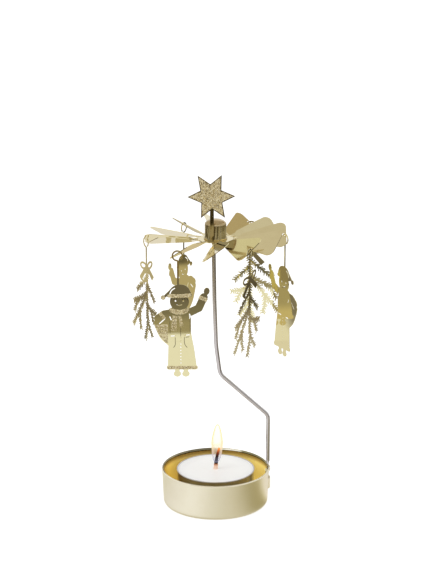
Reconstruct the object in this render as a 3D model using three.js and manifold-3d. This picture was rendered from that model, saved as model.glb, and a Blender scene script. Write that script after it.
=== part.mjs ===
import * as THREE from "three";
import { mergeVertices } from "three/addons/utils/BufferGeometryUtils.js";
import Module from "manifold-3d";

const wasm = await Module();
wasm.setup();

// Driving dimensions in millimetres and angles in degrees, +Z up, the table top at zero

const sheet = 0.3; // thickness of the brass sheet of rotor, star and pendants
const seat_gap = 0.3; // clearance between pieces that seat in or on each other
const overrun = 1; // how far a cutting body runs past what it cuts

const bowl = {
  rim_radius: 26.55,
  base_radius: 25.7,
  height: 18,
  wall: 0.5,
  foot_round: 1.9,
  bead_width: 1.1,
  bead_height: 1.3,
};

const clip = {
  inset: 0.75, // from the rim's outer edge in to the middle of the wire's flattened foot
  outer_bottom: 7.6,
  outer_height: 5,
  inner_height: 2.2,
  slit: 0.4,
  ramp: 1.5, // length of each sloping end of a raised strip
  root: 0.4, // how far a strip's ends run into the wall
};

const stand = {
  wire: 1.9,
  foot_thickness: 0.8,
  foot_width: 2.6,
  squeeze_low: 19.6, // the round wire narrows to the flat foot between these two heights
  squeeze_high: 21.6,
  low_bend: 45,
  low_bend_radius: 5,
  high_bend: 66.15,
  high_bend_radius: 7,
  high_bend_reach: 2.18, // how far this bend lies from the axis
  waist: 80.5, // above the high bend the wire straightens in two long easy bends
  waist_radius: 60,
  waist_reach: 0.3,
  chest: 103,
  chest_radius: 120,
  chest_reach: -0.47,
  neck_height: 127,
  neck_reach: -0.85,
  neck_bend_radius: 30,
  point_length: 2.6,
};

// Half width of the foot's root inside the round wire, as a share of the wire's radius
const foot_root_share = 0.9;

const rotor = {
  level: 134, // middle of the sheet at the hub
  radius: 33.7,
  blades: 12,
  hub_radius: 8.6,
  neck_width: 3.4,
  neck_end: 11.6,
  shoulder_end: 13,
  slit: 1.2,
  corner: 3,
  pitch: 36,
  lift: 2,
  hook_hole: 1.5,
  hook_edge: 1.1, // from the hook hole's middle to the blade's tip edge
};

const cap = {
  radius: 5.15,
  wall: 0.35,
  barrel_height: 6.4,
  dome_height: 2.6,
  flange: 0.5, // how far the flange stands out from the barrel
  collar_radius: 4,
  lip_radius: 4.75,
  lip_height: 0.6,
};

const pivot = {
  height: 3.6,
  roof: 1, // material over the dimple's tip
  dimple_radius: 2.2,
};

const star = {
  radius: 11.8,
  height: 155.8, // middle of the star above the table
  shift: -0.3, // middle of the star beside its stem
  stem_width: 1.85,
  azimuth: 254,
  turn: 4.5, // the star leans by this angle in its own plane
  points: 6,
};

const tealight = {
  radius: 19.25,
  height: 16.4,
  wall: 0.25,
  lip: 0.35,
  foot_round: 0.9,
  wax_drop: 0.5, // wax surface below the cup's lip
  wax_dish: 0.5,
  wick: 1.4,
  wick_stand: 11.6, // how far the wick stands out of the wax
  wick_lean: 1.9,
  holder_radius: 6,
  holder_tube: 3.4,
};

// The wax surface falls to its dish by this power of the radius
const wax_dish_power = 4;

// The wick's course above the wax, in shares of its lean and its stand
const wick_shares = [[0, -0.2], [0, 0], [0.3, 0.55], [1, 1]];

const hook = {
  radius: 2.4, // middle line of the ring
  strip: 0.7,
  bearing: 56, // direction from the ring's middle to the hole that it hangs in
  stem_angle: 276,
  gap_angle: 33,
};

const pendant = {
  turn: 120, // from the blade's direction to the pendant's own right hand
  stem_width: 0.9,
};

const figure = {
  drop: 15.5, // from the hook hole down to the cap
  height: 45,
  width: 26,
  middle: -0.45,
  eye: 0.75,
  button: 0.5,
  buttons: 9,
  slot: 0.45,
  mouth: 0.23,
};

const twig = {
  drop: 13.8, // from the hook hole down to the bow's knot
  height: 36.6,
  width: 24,
  middle: -0.6,
  branch_width: 0.75,
  branch_tip: 0.45,
  needle_length: 1.25,
  needle_width: 0.6,
  needle_spacing: 3.3,
  needle_angle: 52,
};

const bow = {
  width: 13.2,
  height: 10.4,
  loop_ribbon: 0.95,
  tail_root: 1.35,
  tail_end: 1.6,
};

// Small differences between the hand-set blades, as shares of the rotor's pitch and lift
const blade_pitch_shares = [1, 1, 1, 1, 0.95, 0.75, 0.83, 0.67, 0.95, 1, 1.05, 1.05];
const blade_lift_shares = [1.1, 0.75, 0.75, 0.5, 0.25, 0, 0, 1.75, 0.4, 0.6, 0.9, 1];

// The star's inner corners as a share of its outer radius
const star_inner_share = 0.505;

// Outlines of the figure: across in shares of its width, down in shares of its height
const cap_shares = [
  [0.19, -0.11], [0.185, -0.06], [0.12, -0.015], [0, 0], [-0.11, -0.022],
  [-0.19, -0.07], [-0.27, -0.118], [-0.262, -0.142], [-0.19, -0.125], [0, -0.13],
];
const brim_shares = [
  [0.2, -0.098], [0.205, -0.132], [0, -0.142], [-0.2, -0.14], [-0.205, -0.106], [0, -0.108],
];
const bobble_shares = { middle: [-0.29, -0.142], radius: 0.042 };
const head_shares = { middle: [0, -0.183], radius: 0.172 };
const coat_shares = [
  [-0.1, -0.24], [0.1, -0.24], [0.185, -0.262], [0.205, -0.33], [0.205, -0.52],
  [0.262, -0.7], [0.305, -0.885], [-0.216, -0.885], [-0.205, -0.7], [-0.195, -0.52],
  [-0.205, -0.33], [-0.185, -0.262],
];
const hem_shares = [
  [0.2, -0.877], [0.3, -0.877], [0.326, -0.899], [0.3, -0.921], [0.2, -0.922],
  [-0.12, -0.922], [-0.212, -0.921], [-0.236, -0.899], [-0.212, -0.877], [-0.12, -0.877],
];
const cap_slot_shares = [[-0.17, -0.104], [-0.142, -0.068], [-0.085, -0.042]];
const raised_arm_shares = [[0.17, -0.305], [0.345, -0.255], [0.435, -0.137], [0.487, -0.075]];
const bent_arm_shares = [[-0.16, -0.31], [-0.27, -0.32], [-0.385, -0.367]];
const arm_width_share = 0.145;
const mitten_shares = { across: 0.052, down: 0.068 };
const mitten_turn = -10;
const basket_shares = [
  [-0.2, -0.34], [-0.35, -0.36], [-0.445, -0.39], [-0.462, -0.42], [-0.42, -0.49],
  [-0.35, -0.575], [-0.25, -0.635], [-0.16, -0.65],
];
const leg_shares = [[-0.045, -0.9], [0.11, -0.9]];
const leg_width_share = 0.085;
const boot_shares = { middle: [0, -0.968], across: 0.066, down: 0.032 };
const eye_shares = [[-0.07, -0.178], [0.07, -0.178]];
const mouth_shares = [[-0.045, -0.218], [0, -0.226], [0.045, -0.218]];
const pocket_shares = [[[-0.16, -0.557], [-0.075, -0.555]], [[0.08, -0.55], [0.18, -0.543]]];
const button_shares = { across: 0.02, first: -0.575, last: -0.85 };
const handle_slot_shares = [[[-0.363, -0.425], [-0.26, -0.368]], [[-0.175, -0.345], [-0.145, -0.385]]];
const armpit_shares = [[0.165, -0.305], [0.225, -0.348], [0.175, -0.372]];

// The twig's branches: start, bend and tip, in shares of its width and height
const branch_shares = [
  [[0, 0], [-0.01, -0.4], [0, -0.68]],
  [[0, -0.68], [0.06, -0.79], [0.2, -0.91]],
  [[0.01, -0.75], [-0.03, -0.87], [-0.09, -0.99]],
  [[-0.01, -0.15], [-0.18, -0.24], [-0.42, -0.37]],
  [[0, -0.24], [0.12, -0.31], [0.3, -0.42]],
  [[0, -0.37], [-0.26, -0.46], [-0.56, -0.55]],
  [[-0.33, -0.48], [-0.46, -0.57], [-0.55, -0.68]],
  [[-0.03, -0.38], [-0.3, -0.62], [-0.6, -0.87]],
  [[-0.31, -0.63], [-0.32, -0.76], [-0.28, -0.88]],
  [[0, -0.51], [0.16, -0.565], [0.36, -0.585]],
  [[0.14, -0.56], [0.21, -0.63], [0.27, -0.72]],
];

// The bow's loops and tails in shares of its width and height
const loop_shares = [
  { middle: [-0.27, -0.02], across: 0.25, down: 0.145, turn: 4 },
  { middle: [0.22, 0.12], across: 0.24, down: 0.13, turn: 38 },
];
const tail_shares = [[-0.58, -0.84], [0.5, -0.5]];
const knot_share = 0.105;

// Counts of steps on round forms
const bowl_sides = 48;
const cup_sides = 36;
const hub_sides = 24;
const small_sides = 12;
const dot_sides = 6;
const wire_sides = 8;
const curve_steps = 4;
const outline_steps = 2;
const round_steps = 4;

const turn_of = THREE.MathUtils.degToRad;

// Materials with the colours of the real finishes

function finish(color, metalness, roughness) {
  return new THREE.MeshStandardMaterial({ color, metalness, roughness });
}

const satin_brass = finish(0xd8cba0, 1, 0.38);
const polished_brass = finish(0xc9a95a, 1, 0.14);
const blade_brass = finish(0xcdbb84, 1, 0.22);
const steel = finish(0x9b9693, 1, 0.3);
const aluminium = finish(0xb9b4aa, 1, 0.3);
const white_wax = finish(0xf1f0ec, 0, 0.55);
const burnt_wick = finish(0x1d1a18, 0, 0.9);

// A closed geometry as a solid that can be joined and cut
function solid_of(geometry) {
  const plain = geometry.clone();
  plain.deleteAttribute("normal");
  plain.deleteAttribute("uv");
  const merged = mergeVertices(plain);
  const corners = merged.index.array;
  const triangles = [];
  for (let at = 0; at < corners.length; at += 3) {
    const [a, b, c] = corners.slice(at, at + 3);
    if (a !== b && b !== c && c !== a) triangles.push(a, b, c);
  }
  const vertProperties = merged.attributes.position.array;
  const triVerts = new Uint32Array(triangles);
  return new wasm.Manifold(new wasm.Mesh({ numProp: 3, vertProperties, triVerts }));
}

// A finished solid as a named sub-part
function piece(name, solid, material) {
  const { vertProperties, triVerts } = solid.getMesh();
  const geometry = new THREE.BufferGeometry();
  geometry.setAttribute("position", new THREE.BufferAttribute(vertProperties, 3));
  geometry.setIndex(new THREE.BufferAttribute(triVerts, 1));
  geometry.computeVertexNormals();
  const mesh = new THREE.Mesh(geometry, material);
  mesh.name = name;
  return mesh;
}

const union = (solids) => wasm.Manifold.union(solids);

// A closed profile of radius and height, turned about the vertical axis
function turned(profile, sides) {
  const points = profile.map(([radius, height]) => new THREE.Vector2(radius, height));
  const geometry = new THREE.LatheGeometry(points, sides);
  geometry.rotateX(Math.PI / 2);
  return solid_of(geometry);
}

// Points of an arc in a profile or an outline
function arc([x, y], radius, from, to, steps) {
  const points = [];
  for (let step = 0; step <= steps; step++) {
    const angle = turn_of(from + ((to - from) * step) / steps);
    points.push([x + radius * Math.cos(angle), y + radius * Math.sin(angle)]);
  }
  return points;
}

// Rings of equal point counts, joined in order and closed by a flat end at each side
function loft(rings) {
  const count = rings[0].length;
  const points = rings.flat();
  const last = points.length - count;
  const index = [];
  for (let ring = 0; ring < last; ring += count) {
    for (let side = 0; side < count; side++) {
      const a = ring + side;
      const b = ring + ((side + 1) % count);
      index.push(a, b, b + count, a, b + count, a + count);
    }
  }
  for (let side = 1; side + 1 < count; side++) {
    index.push(0, side + 1, side);
    index.push(last, last + side, last + side + 1);
  }
  const geometry = new THREE.BufferGeometry().setFromPoints(points);
  geometry.setIndex(index);
  return solid_of(geometry);
}

// An outline given as points, extruded upwards from its own plane
function extruded(points, depth) {
  const shape = new THREE.Shape(points.map(([x, y]) => new THREE.Vector2(x, y)));
  return new THREE.ExtrudeGeometry(shape, { depth, bevelEnabled: false });
}

// A piece of sheet, and a body that cuts through the sheet, both centred on the sheet's plane
function plate(points) {
  return solid_of(extruded(points, sheet).translate(0, 0, -sheet / 2));
}

function cutter(points) {
  const depth = sheet + 2 * overrun;
  return solid_of(extruded(points, depth).translate(0, 0, -depth / 2));
}

// Outlines: a closed curve through points, an ellipse, and a bar between two points
function smooth(points, steps) {
  const knots = points.map(([x, y]) => new THREE.Vector3(x, y, 0));
  const curve = new THREE.CatmullRomCurve3(knots, true);
  const outline = curve.getPoints(points.length * steps).slice(0, -1);
  return outline.map((point) => [point.x, point.y]);
}

function ellipse([x, y], across, down, turn, sides) {
  const points = [];
  const tilt = turn_of(turn);
  for (let side = 0; side < sides; side++) {
    const angle = (2 * Math.PI * side) / sides;
    const along = across * Math.cos(angle);
    const beside = down * Math.sin(angle);
    points.push([
      x + along * Math.cos(tilt) - beside * Math.sin(tilt),
      y + along * Math.sin(tilt) + beside * Math.cos(tilt),
    ]);
  }
  return points;
}

function bar([ax, ay], [bx, by], width_a, width_b) {
  const length = Math.hypot(bx - ax, by - ay);
  const across = [-(by - ay) / length / 2, (bx - ax) / length / 2];
  return [
    [ax - across[0] * width_a, ay - across[1] * width_a],
    [bx - across[0] * width_b, by - across[1] * width_b],
    [bx + across[0] * width_b, by + across[1] * width_b],
    [ax + across[0] * width_a, ay + across[1] * width_a],
  ];
}

// A stroke of even width along a chain of points, round at every point
function stroke(points, width, shape = plate) {
  const half = width / 2;
  const solids = points.map((point) => shape(ellipse(point, half, half, 0, dot_sides)));
  for (let at = 1; at < points.length; at++) {
    solids.push(shape(bar(points[at - 1], points[at], width, width)));
  }
  return union(solids);
}

// Bowl: turned shell, and three strips of its wall raised in and out to hold the wire's foot

const wall_slope = (bowl.rim_radius - bowl.base_radius) / bowl.height;
const wall_radius = (height) => bowl.base_radius + wall_slope * height;
const foot_reach = bowl.rim_radius - clip.inset;

function bowl_shell() {
  const inner_round = bowl.foot_round - bowl.wall;
  const bead_bottom = bowl.height - bowl.bead_height;
  const wall_top = [wall_radius(bead_bottom) - bowl.wall, bead_bottom];
  const outer_middle = [wall_radius(bowl.foot_round) - bowl.foot_round, bowl.foot_round];
  return turned([
    [0, 0],
    ...arc(outer_middle, bowl.foot_round, 270, 360, round_steps),
    [bowl.rim_radius, bowl.height],
    [bowl.rim_radius - bowl.bead_width, bowl.height],
    [bowl.rim_radius - bowl.bead_width, bead_bottom],
    wall_top,
    ...arc(outer_middle, inner_round, 360, 270, round_steps),
    [0, bowl.wall],
  ], bowl_sides);
}

function clip_strip(middle, bottom, top) {
  const raised = stand.foot_width / 2 + seat_gap;
  const end = raised + clip.ramp + clip.root;
  const wall_middle = Math.sqrt(wall_radius((bottom + top) / 2) ** 2 - end ** 2) - bowl.wall / 2;
  const inner = bowl.wall / 2;
  const outline = [
    [wall_middle + inner, -end], [middle + inner, -raised], [middle + inner, raised],
    [wall_middle + inner, end], [wall_middle - inner, end], [middle - inner, raised],
    [middle - inner, -raised], [wall_middle - inner, -end],
  ];
  return solid_of(extruded(outline, top - bottom).translate(0, 0, bottom));
}

function make_bowl() {
  const window_bottom = clip.outer_bottom - clip.slit;
  const window_half = stand.foot_width / 2 + seat_gap + clip.ramp;
  const window_height = bowl.height + overrun - window_bottom;
  const window_depth = bowl.bead_width + 2 * overrun;
  const window_box = new THREE.BoxGeometry(window_depth, 2 * window_half, window_height);
  window_box.translate(
    bowl.rim_radius - window_depth / 2 + overrun / 2, 0, window_bottom + window_height / 2,
  );
  const reach = stand.foot_thickness / 2 + seat_gap + bowl.wall / 2;
  const bead_bottom = bowl.height - bowl.bead_height;
  const inner_top = bead_bottom - clip.slit;
  return union([
    bowl_shell().subtract(solid_of(window_box)),
    clip_strip(foot_reach + reach, bead_bottom, bowl.height),
    clip_strip(foot_reach - reach, inner_top - clip.inner_height, inner_top),
    clip_strip(foot_reach + reach, clip.outer_bottom, clip.outer_bottom + clip.outer_height),
  ]);
}

// Hub heights, stacked from the rotor's sheet upwards

const sheet_top = rotor.level + sheet / 2;
const flange_bottom = sheet_top + sheet;
const barrel_bottom = flange_bottom + cap.wall;
const barrel_top = barrel_bottom + cap.barrel_height;
const pivot_radius = cap.radius - cap.wall - seat_gap;
const pivot_top = barrel_top - seat_gap;
const dimple_tip = pivot_top - pivot.roof;
const point_height = dimple_tip - seat_gap;

// Stand: round wire through its bends, flattened at its foot and ground to a point

function wire_path() {
  const corners = [
    [foot_reach, stand.squeeze_high, 0],
    [foot_reach, stand.low_bend, stand.low_bend_radius],
    [stand.high_bend_reach, stand.high_bend, stand.high_bend_radius],
    [stand.waist_reach, stand.waist, stand.waist_radius],
    [stand.chest_reach, stand.chest, stand.chest_radius],
    [stand.neck_reach, stand.neck_height, stand.neck_bend_radius],
    [0, point_height - stand.point_length, 0],
  ];
  const path = new THREE.CurvePath();
  let from = new THREE.Vector3(corners[0][0], 0, corners[0][1]);
  for (let at = 1; at + 1 < corners.length; at++) {
    const [before, here, after] = [at - 1, at, at + 1].map(
      (number) => new THREE.Vector3(corners[number][0], 0, corners[number][1]),
    );
    const arriving = here.clone().sub(before).normalize();
    const leaving = after.clone().sub(here).normalize();
    const reach = corners[at][2] * Math.tan(arriving.angleTo(leaving) / 2);
    const start = here.clone().addScaledVector(arriving, -reach);
    const end = here.clone().addScaledVector(leaving, reach);
    path.add(new THREE.LineCurve3(from, start));
    path.add(new THREE.QuadraticBezierCurve3(start, here, end));
    from = end;
  }
  const last = corners[corners.length - 1];
  path.add(new THREE.LineCurve3(from, new THREE.Vector3(last[0], 0, last[1])));
  return path;
}

function wire_ring(across_x, across_y, reach, height) {
  const points = ellipse([reach, 0], across_x, across_y, 0, wire_sides);
  return points.map(([x, y]) => new THREE.Vector3(x, y, height));
}

function make_stand() {
  const radius = stand.wire / 2;
  const section = new THREE.Shape(
    ellipse([0, 0], radius, radius, 0, wire_sides).map(([x, y]) => new THREE.Vector2(x, y)),
  );
  const path = wire_path();
  const steps = Math.round(path.getLength() / stand.wire);
  const run = new THREE.ExtrudeGeometry(section, { steps, extrudePath: path });
  const squeeze = loft([
    wire_ring(stand.foot_thickness / 2, stand.foot_width / 2, foot_reach, stand.squeeze_low),
    wire_ring(radius, radius, foot_reach, stand.squeeze_high),
    wire_ring(radius, radius, foot_reach, stand.squeeze_high + stand.wire),
  ]);
  const foot_half = stand.foot_width / 2;
  const foot_outline = [
    ...arc([0, clip.outer_bottom + foot_half], foot_half, 180, 360, 2 * round_steps),
    [foot_half, stand.squeeze_low],
    [radius * foot_root_share, stand.squeeze_high],
    [-radius * foot_root_share, stand.squeeze_high],
    [-foot_half, stand.squeeze_low],
  ];
  const foot = extruded(foot_outline, stand.foot_thickness);
  foot.translate(0, 0, -stand.foot_thickness / 2);
  foot.rotateX(Math.PI / 2);
  foot.rotateZ(Math.PI / 2);
  foot.translate(foot_reach, 0, 0);
  const point_base = point_height - stand.point_length;
  const point = turned([
    [0, point_base - stand.wire],
    [radius, point_base - stand.wire],
    [radius, point_base],
    [0, point_height],
  ], wire_sides);
  return union([solid_of(run), squeeze, solid_of(foot), point]);
}

// Rotor: one disc of sheet with a hole for the hub, slit into blades that are twisted at their necks

const blade_angle = (blade) => (360 / rotor.blades) * blade;
const rise_at = (radius, blade) =>
  (rotor.lift * blade_lift_shares[blade] * (radius - rotor.hub_radius)) /
  (rotor.radius - rotor.hub_radius);
const hook_radius = rotor.radius - rotor.hook_edge;

// Radius and half width at each station along a blade, from inside the hub disc to the tip
function blade_stations() {
  const half_step = 180 / rotor.blades;
  const edge = (radius) => radius * Math.tan(turn_of(half_step)) - rotor.slit / 2;
  const neck = rotor.neck_width / 2;
  const corner_reach = rotor.radius - rotor.corner;
  const corner_middle = [
    corner_reach, edge(corner_reach) - rotor.corner / Math.cos(turn_of(half_step)),
  ];
  const stations = [[rotor.hub_radius - rotor.slit, neck]];
  for (let step = 0; step <= curve_steps; step++) {
    const share = step / curve_steps;
    stations.push([rotor.hub_radius + (rotor.neck_end - rotor.hub_radius) * share, neck]);
  }
  stations.push([rotor.shoulder_end, edge(rotor.shoulder_end)]);
  stations.push(...arc(corner_middle, rotor.corner, 90 + half_step, 0, round_steps));
  return stations;
}

function make_blade(blade) {
  const pitch = turn_of(rotor.pitch * blade_pitch_shares[blade]);
  const rings = blade_stations().map(([radius, half]) => {
    const along_neck = (radius - rotor.hub_radius) / (rotor.neck_end - rotor.hub_radius);
    const twist = pitch * THREE.MathUtils.smoothstep(along_neck, 0, 1);
    const rise = radius > rotor.hub_radius ? rise_at(radius, blade) : 0;
    const corner = (side, face) => new THREE.Vector3(
      radius,
      side * half * Math.cos(twist) - (face * sheet * Math.sin(twist)) / 2,
      rise + side * half * Math.sin(twist) + (face * sheet * Math.cos(twist)) / 2,
    );
    return [corner(-1, -1), corner(1, -1), corner(1, 1), corner(-1, 1)];
  });
  return loft(rings).rotate([0, 0, blade_angle(blade)]);
}

function hook_hole(blade) {
  const depth = sheet + 2 * overrun;
  const hole = new THREE.CylinderGeometry(
    rotor.hook_hole / 2, rotor.hook_hole / 2, depth, dot_sides,
  );
  hole.rotateX(Math.PI / 2 + turn_of(rotor.pitch * blade_pitch_shares[blade]));
  hole.translate(hook_radius, 0, rise_at(hook_radius, blade));
  hole.rotateZ(turn_of(blade_angle(blade)));
  return solid_of(hole);
}

function make_rotor() {
  const inner = cap.collar_radius + seat_gap;
  const disc = turned([
    [inner, -sheet / 2],
    [rotor.hub_radius, -sheet / 2],
    [rotor.hub_radius, sheet / 2],
    [inner, sheet / 2],
    [inner, -sheet / 2],
  ], hub_sides);
  const blades = [];
  const holes = [];
  for (let blade = 0; blade < rotor.blades; blade++) {
    blades.push(make_blade(blade));
    if (blade % 2 === 0) holes.push(hook_hole(blade));
  }
  return union([disc, ...blades]).subtract(union(holes));
}

// Hub: domed cap whose flange and lip hold the star's ring and the rotor, and its bearing insert

function dome(radius, height, bottom, from, to) {
  const points = arc([0, 0], 1, from, to, round_steps);
  return points.map(([across, up]) => [radius * across, bottom + height * up]);
}

function make_cap() {
  const inner_radius = cap.radius - cap.wall;
  const bore = cap.collar_radius - cap.wall;
  const lip_top = rotor.level - sheet / 2;
  const lip_bottom = lip_top - cap.lip_height;
  return turned([
    ...dome(inner_radius, cap.dome_height - cap.wall, barrel_top, 90, 0),
    [inner_radius, barrel_bottom],
    [bore, barrel_bottom],
    [bore, lip_bottom],
    [cap.lip_radius, lip_bottom],
    [cap.lip_radius, lip_top],
    [cap.collar_radius, lip_top],
    [cap.collar_radius, flange_bottom],
    [cap.radius + cap.flange, flange_bottom],
    [cap.radius + cap.flange, barrel_bottom],
    [cap.radius, barrel_bottom],
    ...dome(cap.radius, cap.dome_height, barrel_top, 0, 90),
  ], hub_sides);
}

function make_pivot() {
  const bottom = pivot_top - pivot.height;
  return turned([
    [0, dimple_tip],
    [pivot.dimple_radius, bottom],
    [pivot_radius, bottom],
    [pivot_radius, pivot_top],
    [0, pivot_top],
  ], hub_sides);
}

// Star: flat star and stem, bent at the foot to a ring that lies under the cap's flange

function make_star() {
  const outline = [];
  for (let corner = 0; corner < 2 * star.points; corner++) {
    const angle = turn_of(star.turn + (180 / star.points) * corner);
    const radius = corner % 2 === 0 ? star.radius : star.radius * star_inner_share;
    outline.push([star.shift + radius * Math.cos(angle), star.height + radius * Math.sin(angle)]);
  }
  const half = star.stem_width / 2;
  const stem_outline = [
    [-half, sheet_top], [half, sheet_top],
    [half, star.height], [-half, star.height],
  ];
  const stem_reach = cap.radius + cap.flange + seat_gap + sheet / 2;
  const upright = union([plate(outline), plate(stem_outline)]);
  const standing = upright.rotate([90, 0, 0]).translate([0, -stem_reach, 0]);
  const ring_inner = cap.collar_radius + seat_gap;
  const ring_outer = cap.radius + cap.flange;
  const ring = turned([
    [ring_inner, sheet_top],
    [ring_outer, sheet_top],
    [ring_outer, flange_bottom],
    [ring_inner, flange_bottom],
    [ring_inner, sheet_top],
  ], hub_sides);
  const tab_start = (ring_inner + ring_outer) / 2;
  const tab_end = stem_reach + sheet / 2;
  const tab_outline = [[-half, -tab_end], [half, -tab_end], [half, -tab_start], [-half, -tab_start]];
  const tab = solid_of(extruded(tab_outline, sheet).translate(0, 0, sheet_top));
  return union([standing, ring, tab]).rotate([0, 0, star.azimuth + 90]);
}

// Tealight: thin cup, wax with a hole for the wick, wick, and the sheet foot that holds the wick

const cup_bottom = bowl.wall + seat_gap;
const cup_top = cup_bottom + tealight.height;
const cup_radius = tealight.radius - tealight.lip;
const wax_bottom = cup_bottom + tealight.wall + seat_gap;
const wax_top = cup_top - tealight.wax_drop;
const wax_radius = cup_radius - tealight.wall - seat_gap;
const holder_top = wax_bottom + tealight.wall;
const tube_top = holder_top + tealight.holder_tube;
const tube_inner = tealight.wick / 2 + seat_gap;
const tube_outer = tube_inner + tealight.wall;

function make_cup() {
  const inner = cup_radius - tealight.wall;
  const inner_round = tealight.foot_round - tealight.wall;
  const middle = [cup_radius - tealight.foot_round, cup_bottom + tealight.foot_round];
  return turned([
    [0, cup_bottom],
    ...arc(middle, tealight.foot_round, 270, 360, round_steps),
    [cup_radius, cup_top - tealight.lip],
    [tealight.radius, cup_top - tealight.lip],
    [tealight.radius, cup_top],
    [inner, cup_top],
    ...arc(middle, inner_round, 360, 270, round_steps),
    [0, cup_bottom + tealight.wall],
  ], cup_sides);
}

function make_wax() {
  const clear = seat_gap;
  const round = tealight.foot_round;
  const well = tube_inner;
  const dish = (radius) => wax_top - tealight.wax_dish * (1 - (radius / wax_radius) ** wax_dish_power);
  const surface = [];
  for (let step = 0; step <= round_steps; step++) {
    const radius = wax_radius + ((well - wax_radius) * step) / round_steps;
    surface.push([radius, dish(radius)]);
  }
  return turned([
    [tealight.holder_radius + clear, wax_bottom],
    ...arc([wax_radius - round, wax_bottom + round], round, 270, 360, round_steps),
    ...surface,
    [well, tube_top + clear],
    [tube_outer + clear, tube_top + clear],
    [tube_outer + clear, holder_top + clear],
    [tealight.holder_radius + clear, holder_top + clear],
    [tealight.holder_radius + clear, wax_bottom],
  ], cup_sides);
}

function make_holder() {
  return turned([
    [0, wax_bottom],
    [tealight.holder_radius, wax_bottom],
    [tealight.holder_radius, holder_top],
    [tube_outer, holder_top],
    [tube_outer, tube_top],
    [tube_inner, tube_top],
    [tube_inner, holder_top],
    [0, holder_top],
  ], small_sides);
}

function make_wick() {
  const radius = tealight.wick / 2;
  const section = new THREE.Shape(
    ellipse([0, 0], radius, radius, 0, wire_sides).map(([x, y]) => new THREE.Vector2(x, y)),
  );
  const surface = wax_top - tealight.wax_dish;
  const path = new THREE.CatmullRomCurve3([
    new THREE.Vector3(0, 0, holder_top + seat_gap),
    ...wick_shares.map(([lean, rise]) => new THREE.Vector3(
      lean * tealight.wick_lean, 0, surface + rise * tealight.wick_stand,
    )),
  ]);
  const steps = Math.round(path.getLength() / tealight.wick);
  return solid_of(new THREE.ExtrudeGeometry(section, { steps, extrudePath: path }));
}

// Pendants: flat pieces with x to their own right, y up, and the hook hole at zero

const ring_middle = [
  -hook.radius * Math.cos(turn_of(hook.bearing)),
  -hook.radius * Math.sin(turn_of(hook.bearing)),
];
const stem_top = [
  ring_middle[0] + hook.radius * Math.cos(turn_of(hook.stem_angle)),
  ring_middle[1] + hook.radius * Math.sin(turn_of(hook.stem_angle)),
];

function hook_and_stem(foot) {
  const open_from = hook.stem_angle + hook.gap_angle - 360;
  const steps = small_sides;
  const outer = arc(ring_middle, hook.radius + hook.strip / 2, open_from, hook.stem_angle, steps);
  const inner = arc(ring_middle, hook.radius - hook.strip / 2, hook.stem_angle, open_from, steps);
  return [
    plate([...outer, ...inner]),
    plate(bar(foot, stem_top, pendant.stem_width, pendant.stem_width)),
  ];
}

// A place on the figure, the twig or the bow from its shares
const figure_at = ([across, down]) => [
  figure.middle + across * figure.width, down * figure.height - figure.drop,
];
const twig_at = ([across, down]) => [
  twig.middle + across * twig.width, down * twig.height - twig.drop,
];
const bow_at = ([across, down]) => [
  twig.middle + across * bow.width, down * bow.height - twig.drop,
];

function figure_plates() {
  const arm_width = arm_width_share * figure.width;
  const mitten = [mitten_shares.across * figure.width, mitten_shares.down * figure.width];
  const raised = raised_arm_shares.map(figure_at);
  const bent = bent_arm_shares.map(figure_at);
  const head = head_shares.radius * figure.width;
  const bobble = bobble_shares.radius * figure.width;
  const leg_width = leg_width_share * figure.width;
  const plates = [
    plate(smooth(cap_shares.map(figure_at), outline_steps)),
    plate(smooth(brim_shares.map(figure_at), outline_steps)),
    plate(ellipse(figure_at(bobble_shares.middle), bobble, bobble, 0, dot_sides)),
    plate(ellipse(figure_at(head_shares.middle), head, head, 0, small_sides)),
    plate(coat_shares.map(figure_at)),
    plate(smooth(hem_shares.map(figure_at), outline_steps)),
    plate(smooth(basket_shares.map(figure_at), outline_steps)),
    stroke(raised.slice(0, -1), arm_width),
    stroke(bent, arm_width),
    plate(ellipse(raised[raised.length - 1], ...mitten, mitten_turn, small_sides)),
  ];
  for (const leg of leg_shares) {
    const [across] = leg;
    const boot = figure_at([across, boot_shares.middle[1]]);
    plates.push(plate(bar(figure_at(leg), boot, leg_width, leg_width)));
    const [wide, tall] = [boot_shares.across * figure.width, boot_shares.down * figure.height];
    plates.push(plate(ellipse(boot, wide, tall, 0, dot_sides)));
  }
  return plates;
}

function figure_cuts() {
  const eye = figure.eye / 2;
  const button = figure.button / 2;
  const cuts = [
    ...eye_shares.map((place) => cutter(ellipse(figure_at(place), eye, eye, 0, dot_sides))),
    stroke(mouth_shares.map(figure_at), figure.mouth, cutter),
    stroke(cap_slot_shares.map(figure_at), figure.slot, cutter),
    cutter(armpit_shares.map(figure_at)),
  ];
  for (const [from, to] of [...pocket_shares, ...handle_slot_shares]) {
    cuts.push(cutter(bar(figure_at(from), figure_at(to), figure.slot, figure.slot)));
  }
  for (let number = 0; number < figure.buttons; number++) {
    const share = number / (figure.buttons - 1);
    const down = button_shares.first + (button_shares.last - button_shares.first) * share;
    const place = figure_at([button_shares.across, down]);
    cuts.push(cutter(ellipse(place, button, button, 0, dot_sides)));
  }
  return cuts;
}

function make_figure() {
  const foot = [stem_top[0], -figure.drop - pendant.stem_width];
  return union([...hook_and_stem(foot), ...figure_plates()]).subtract(union(figure_cuts()));
}

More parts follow.
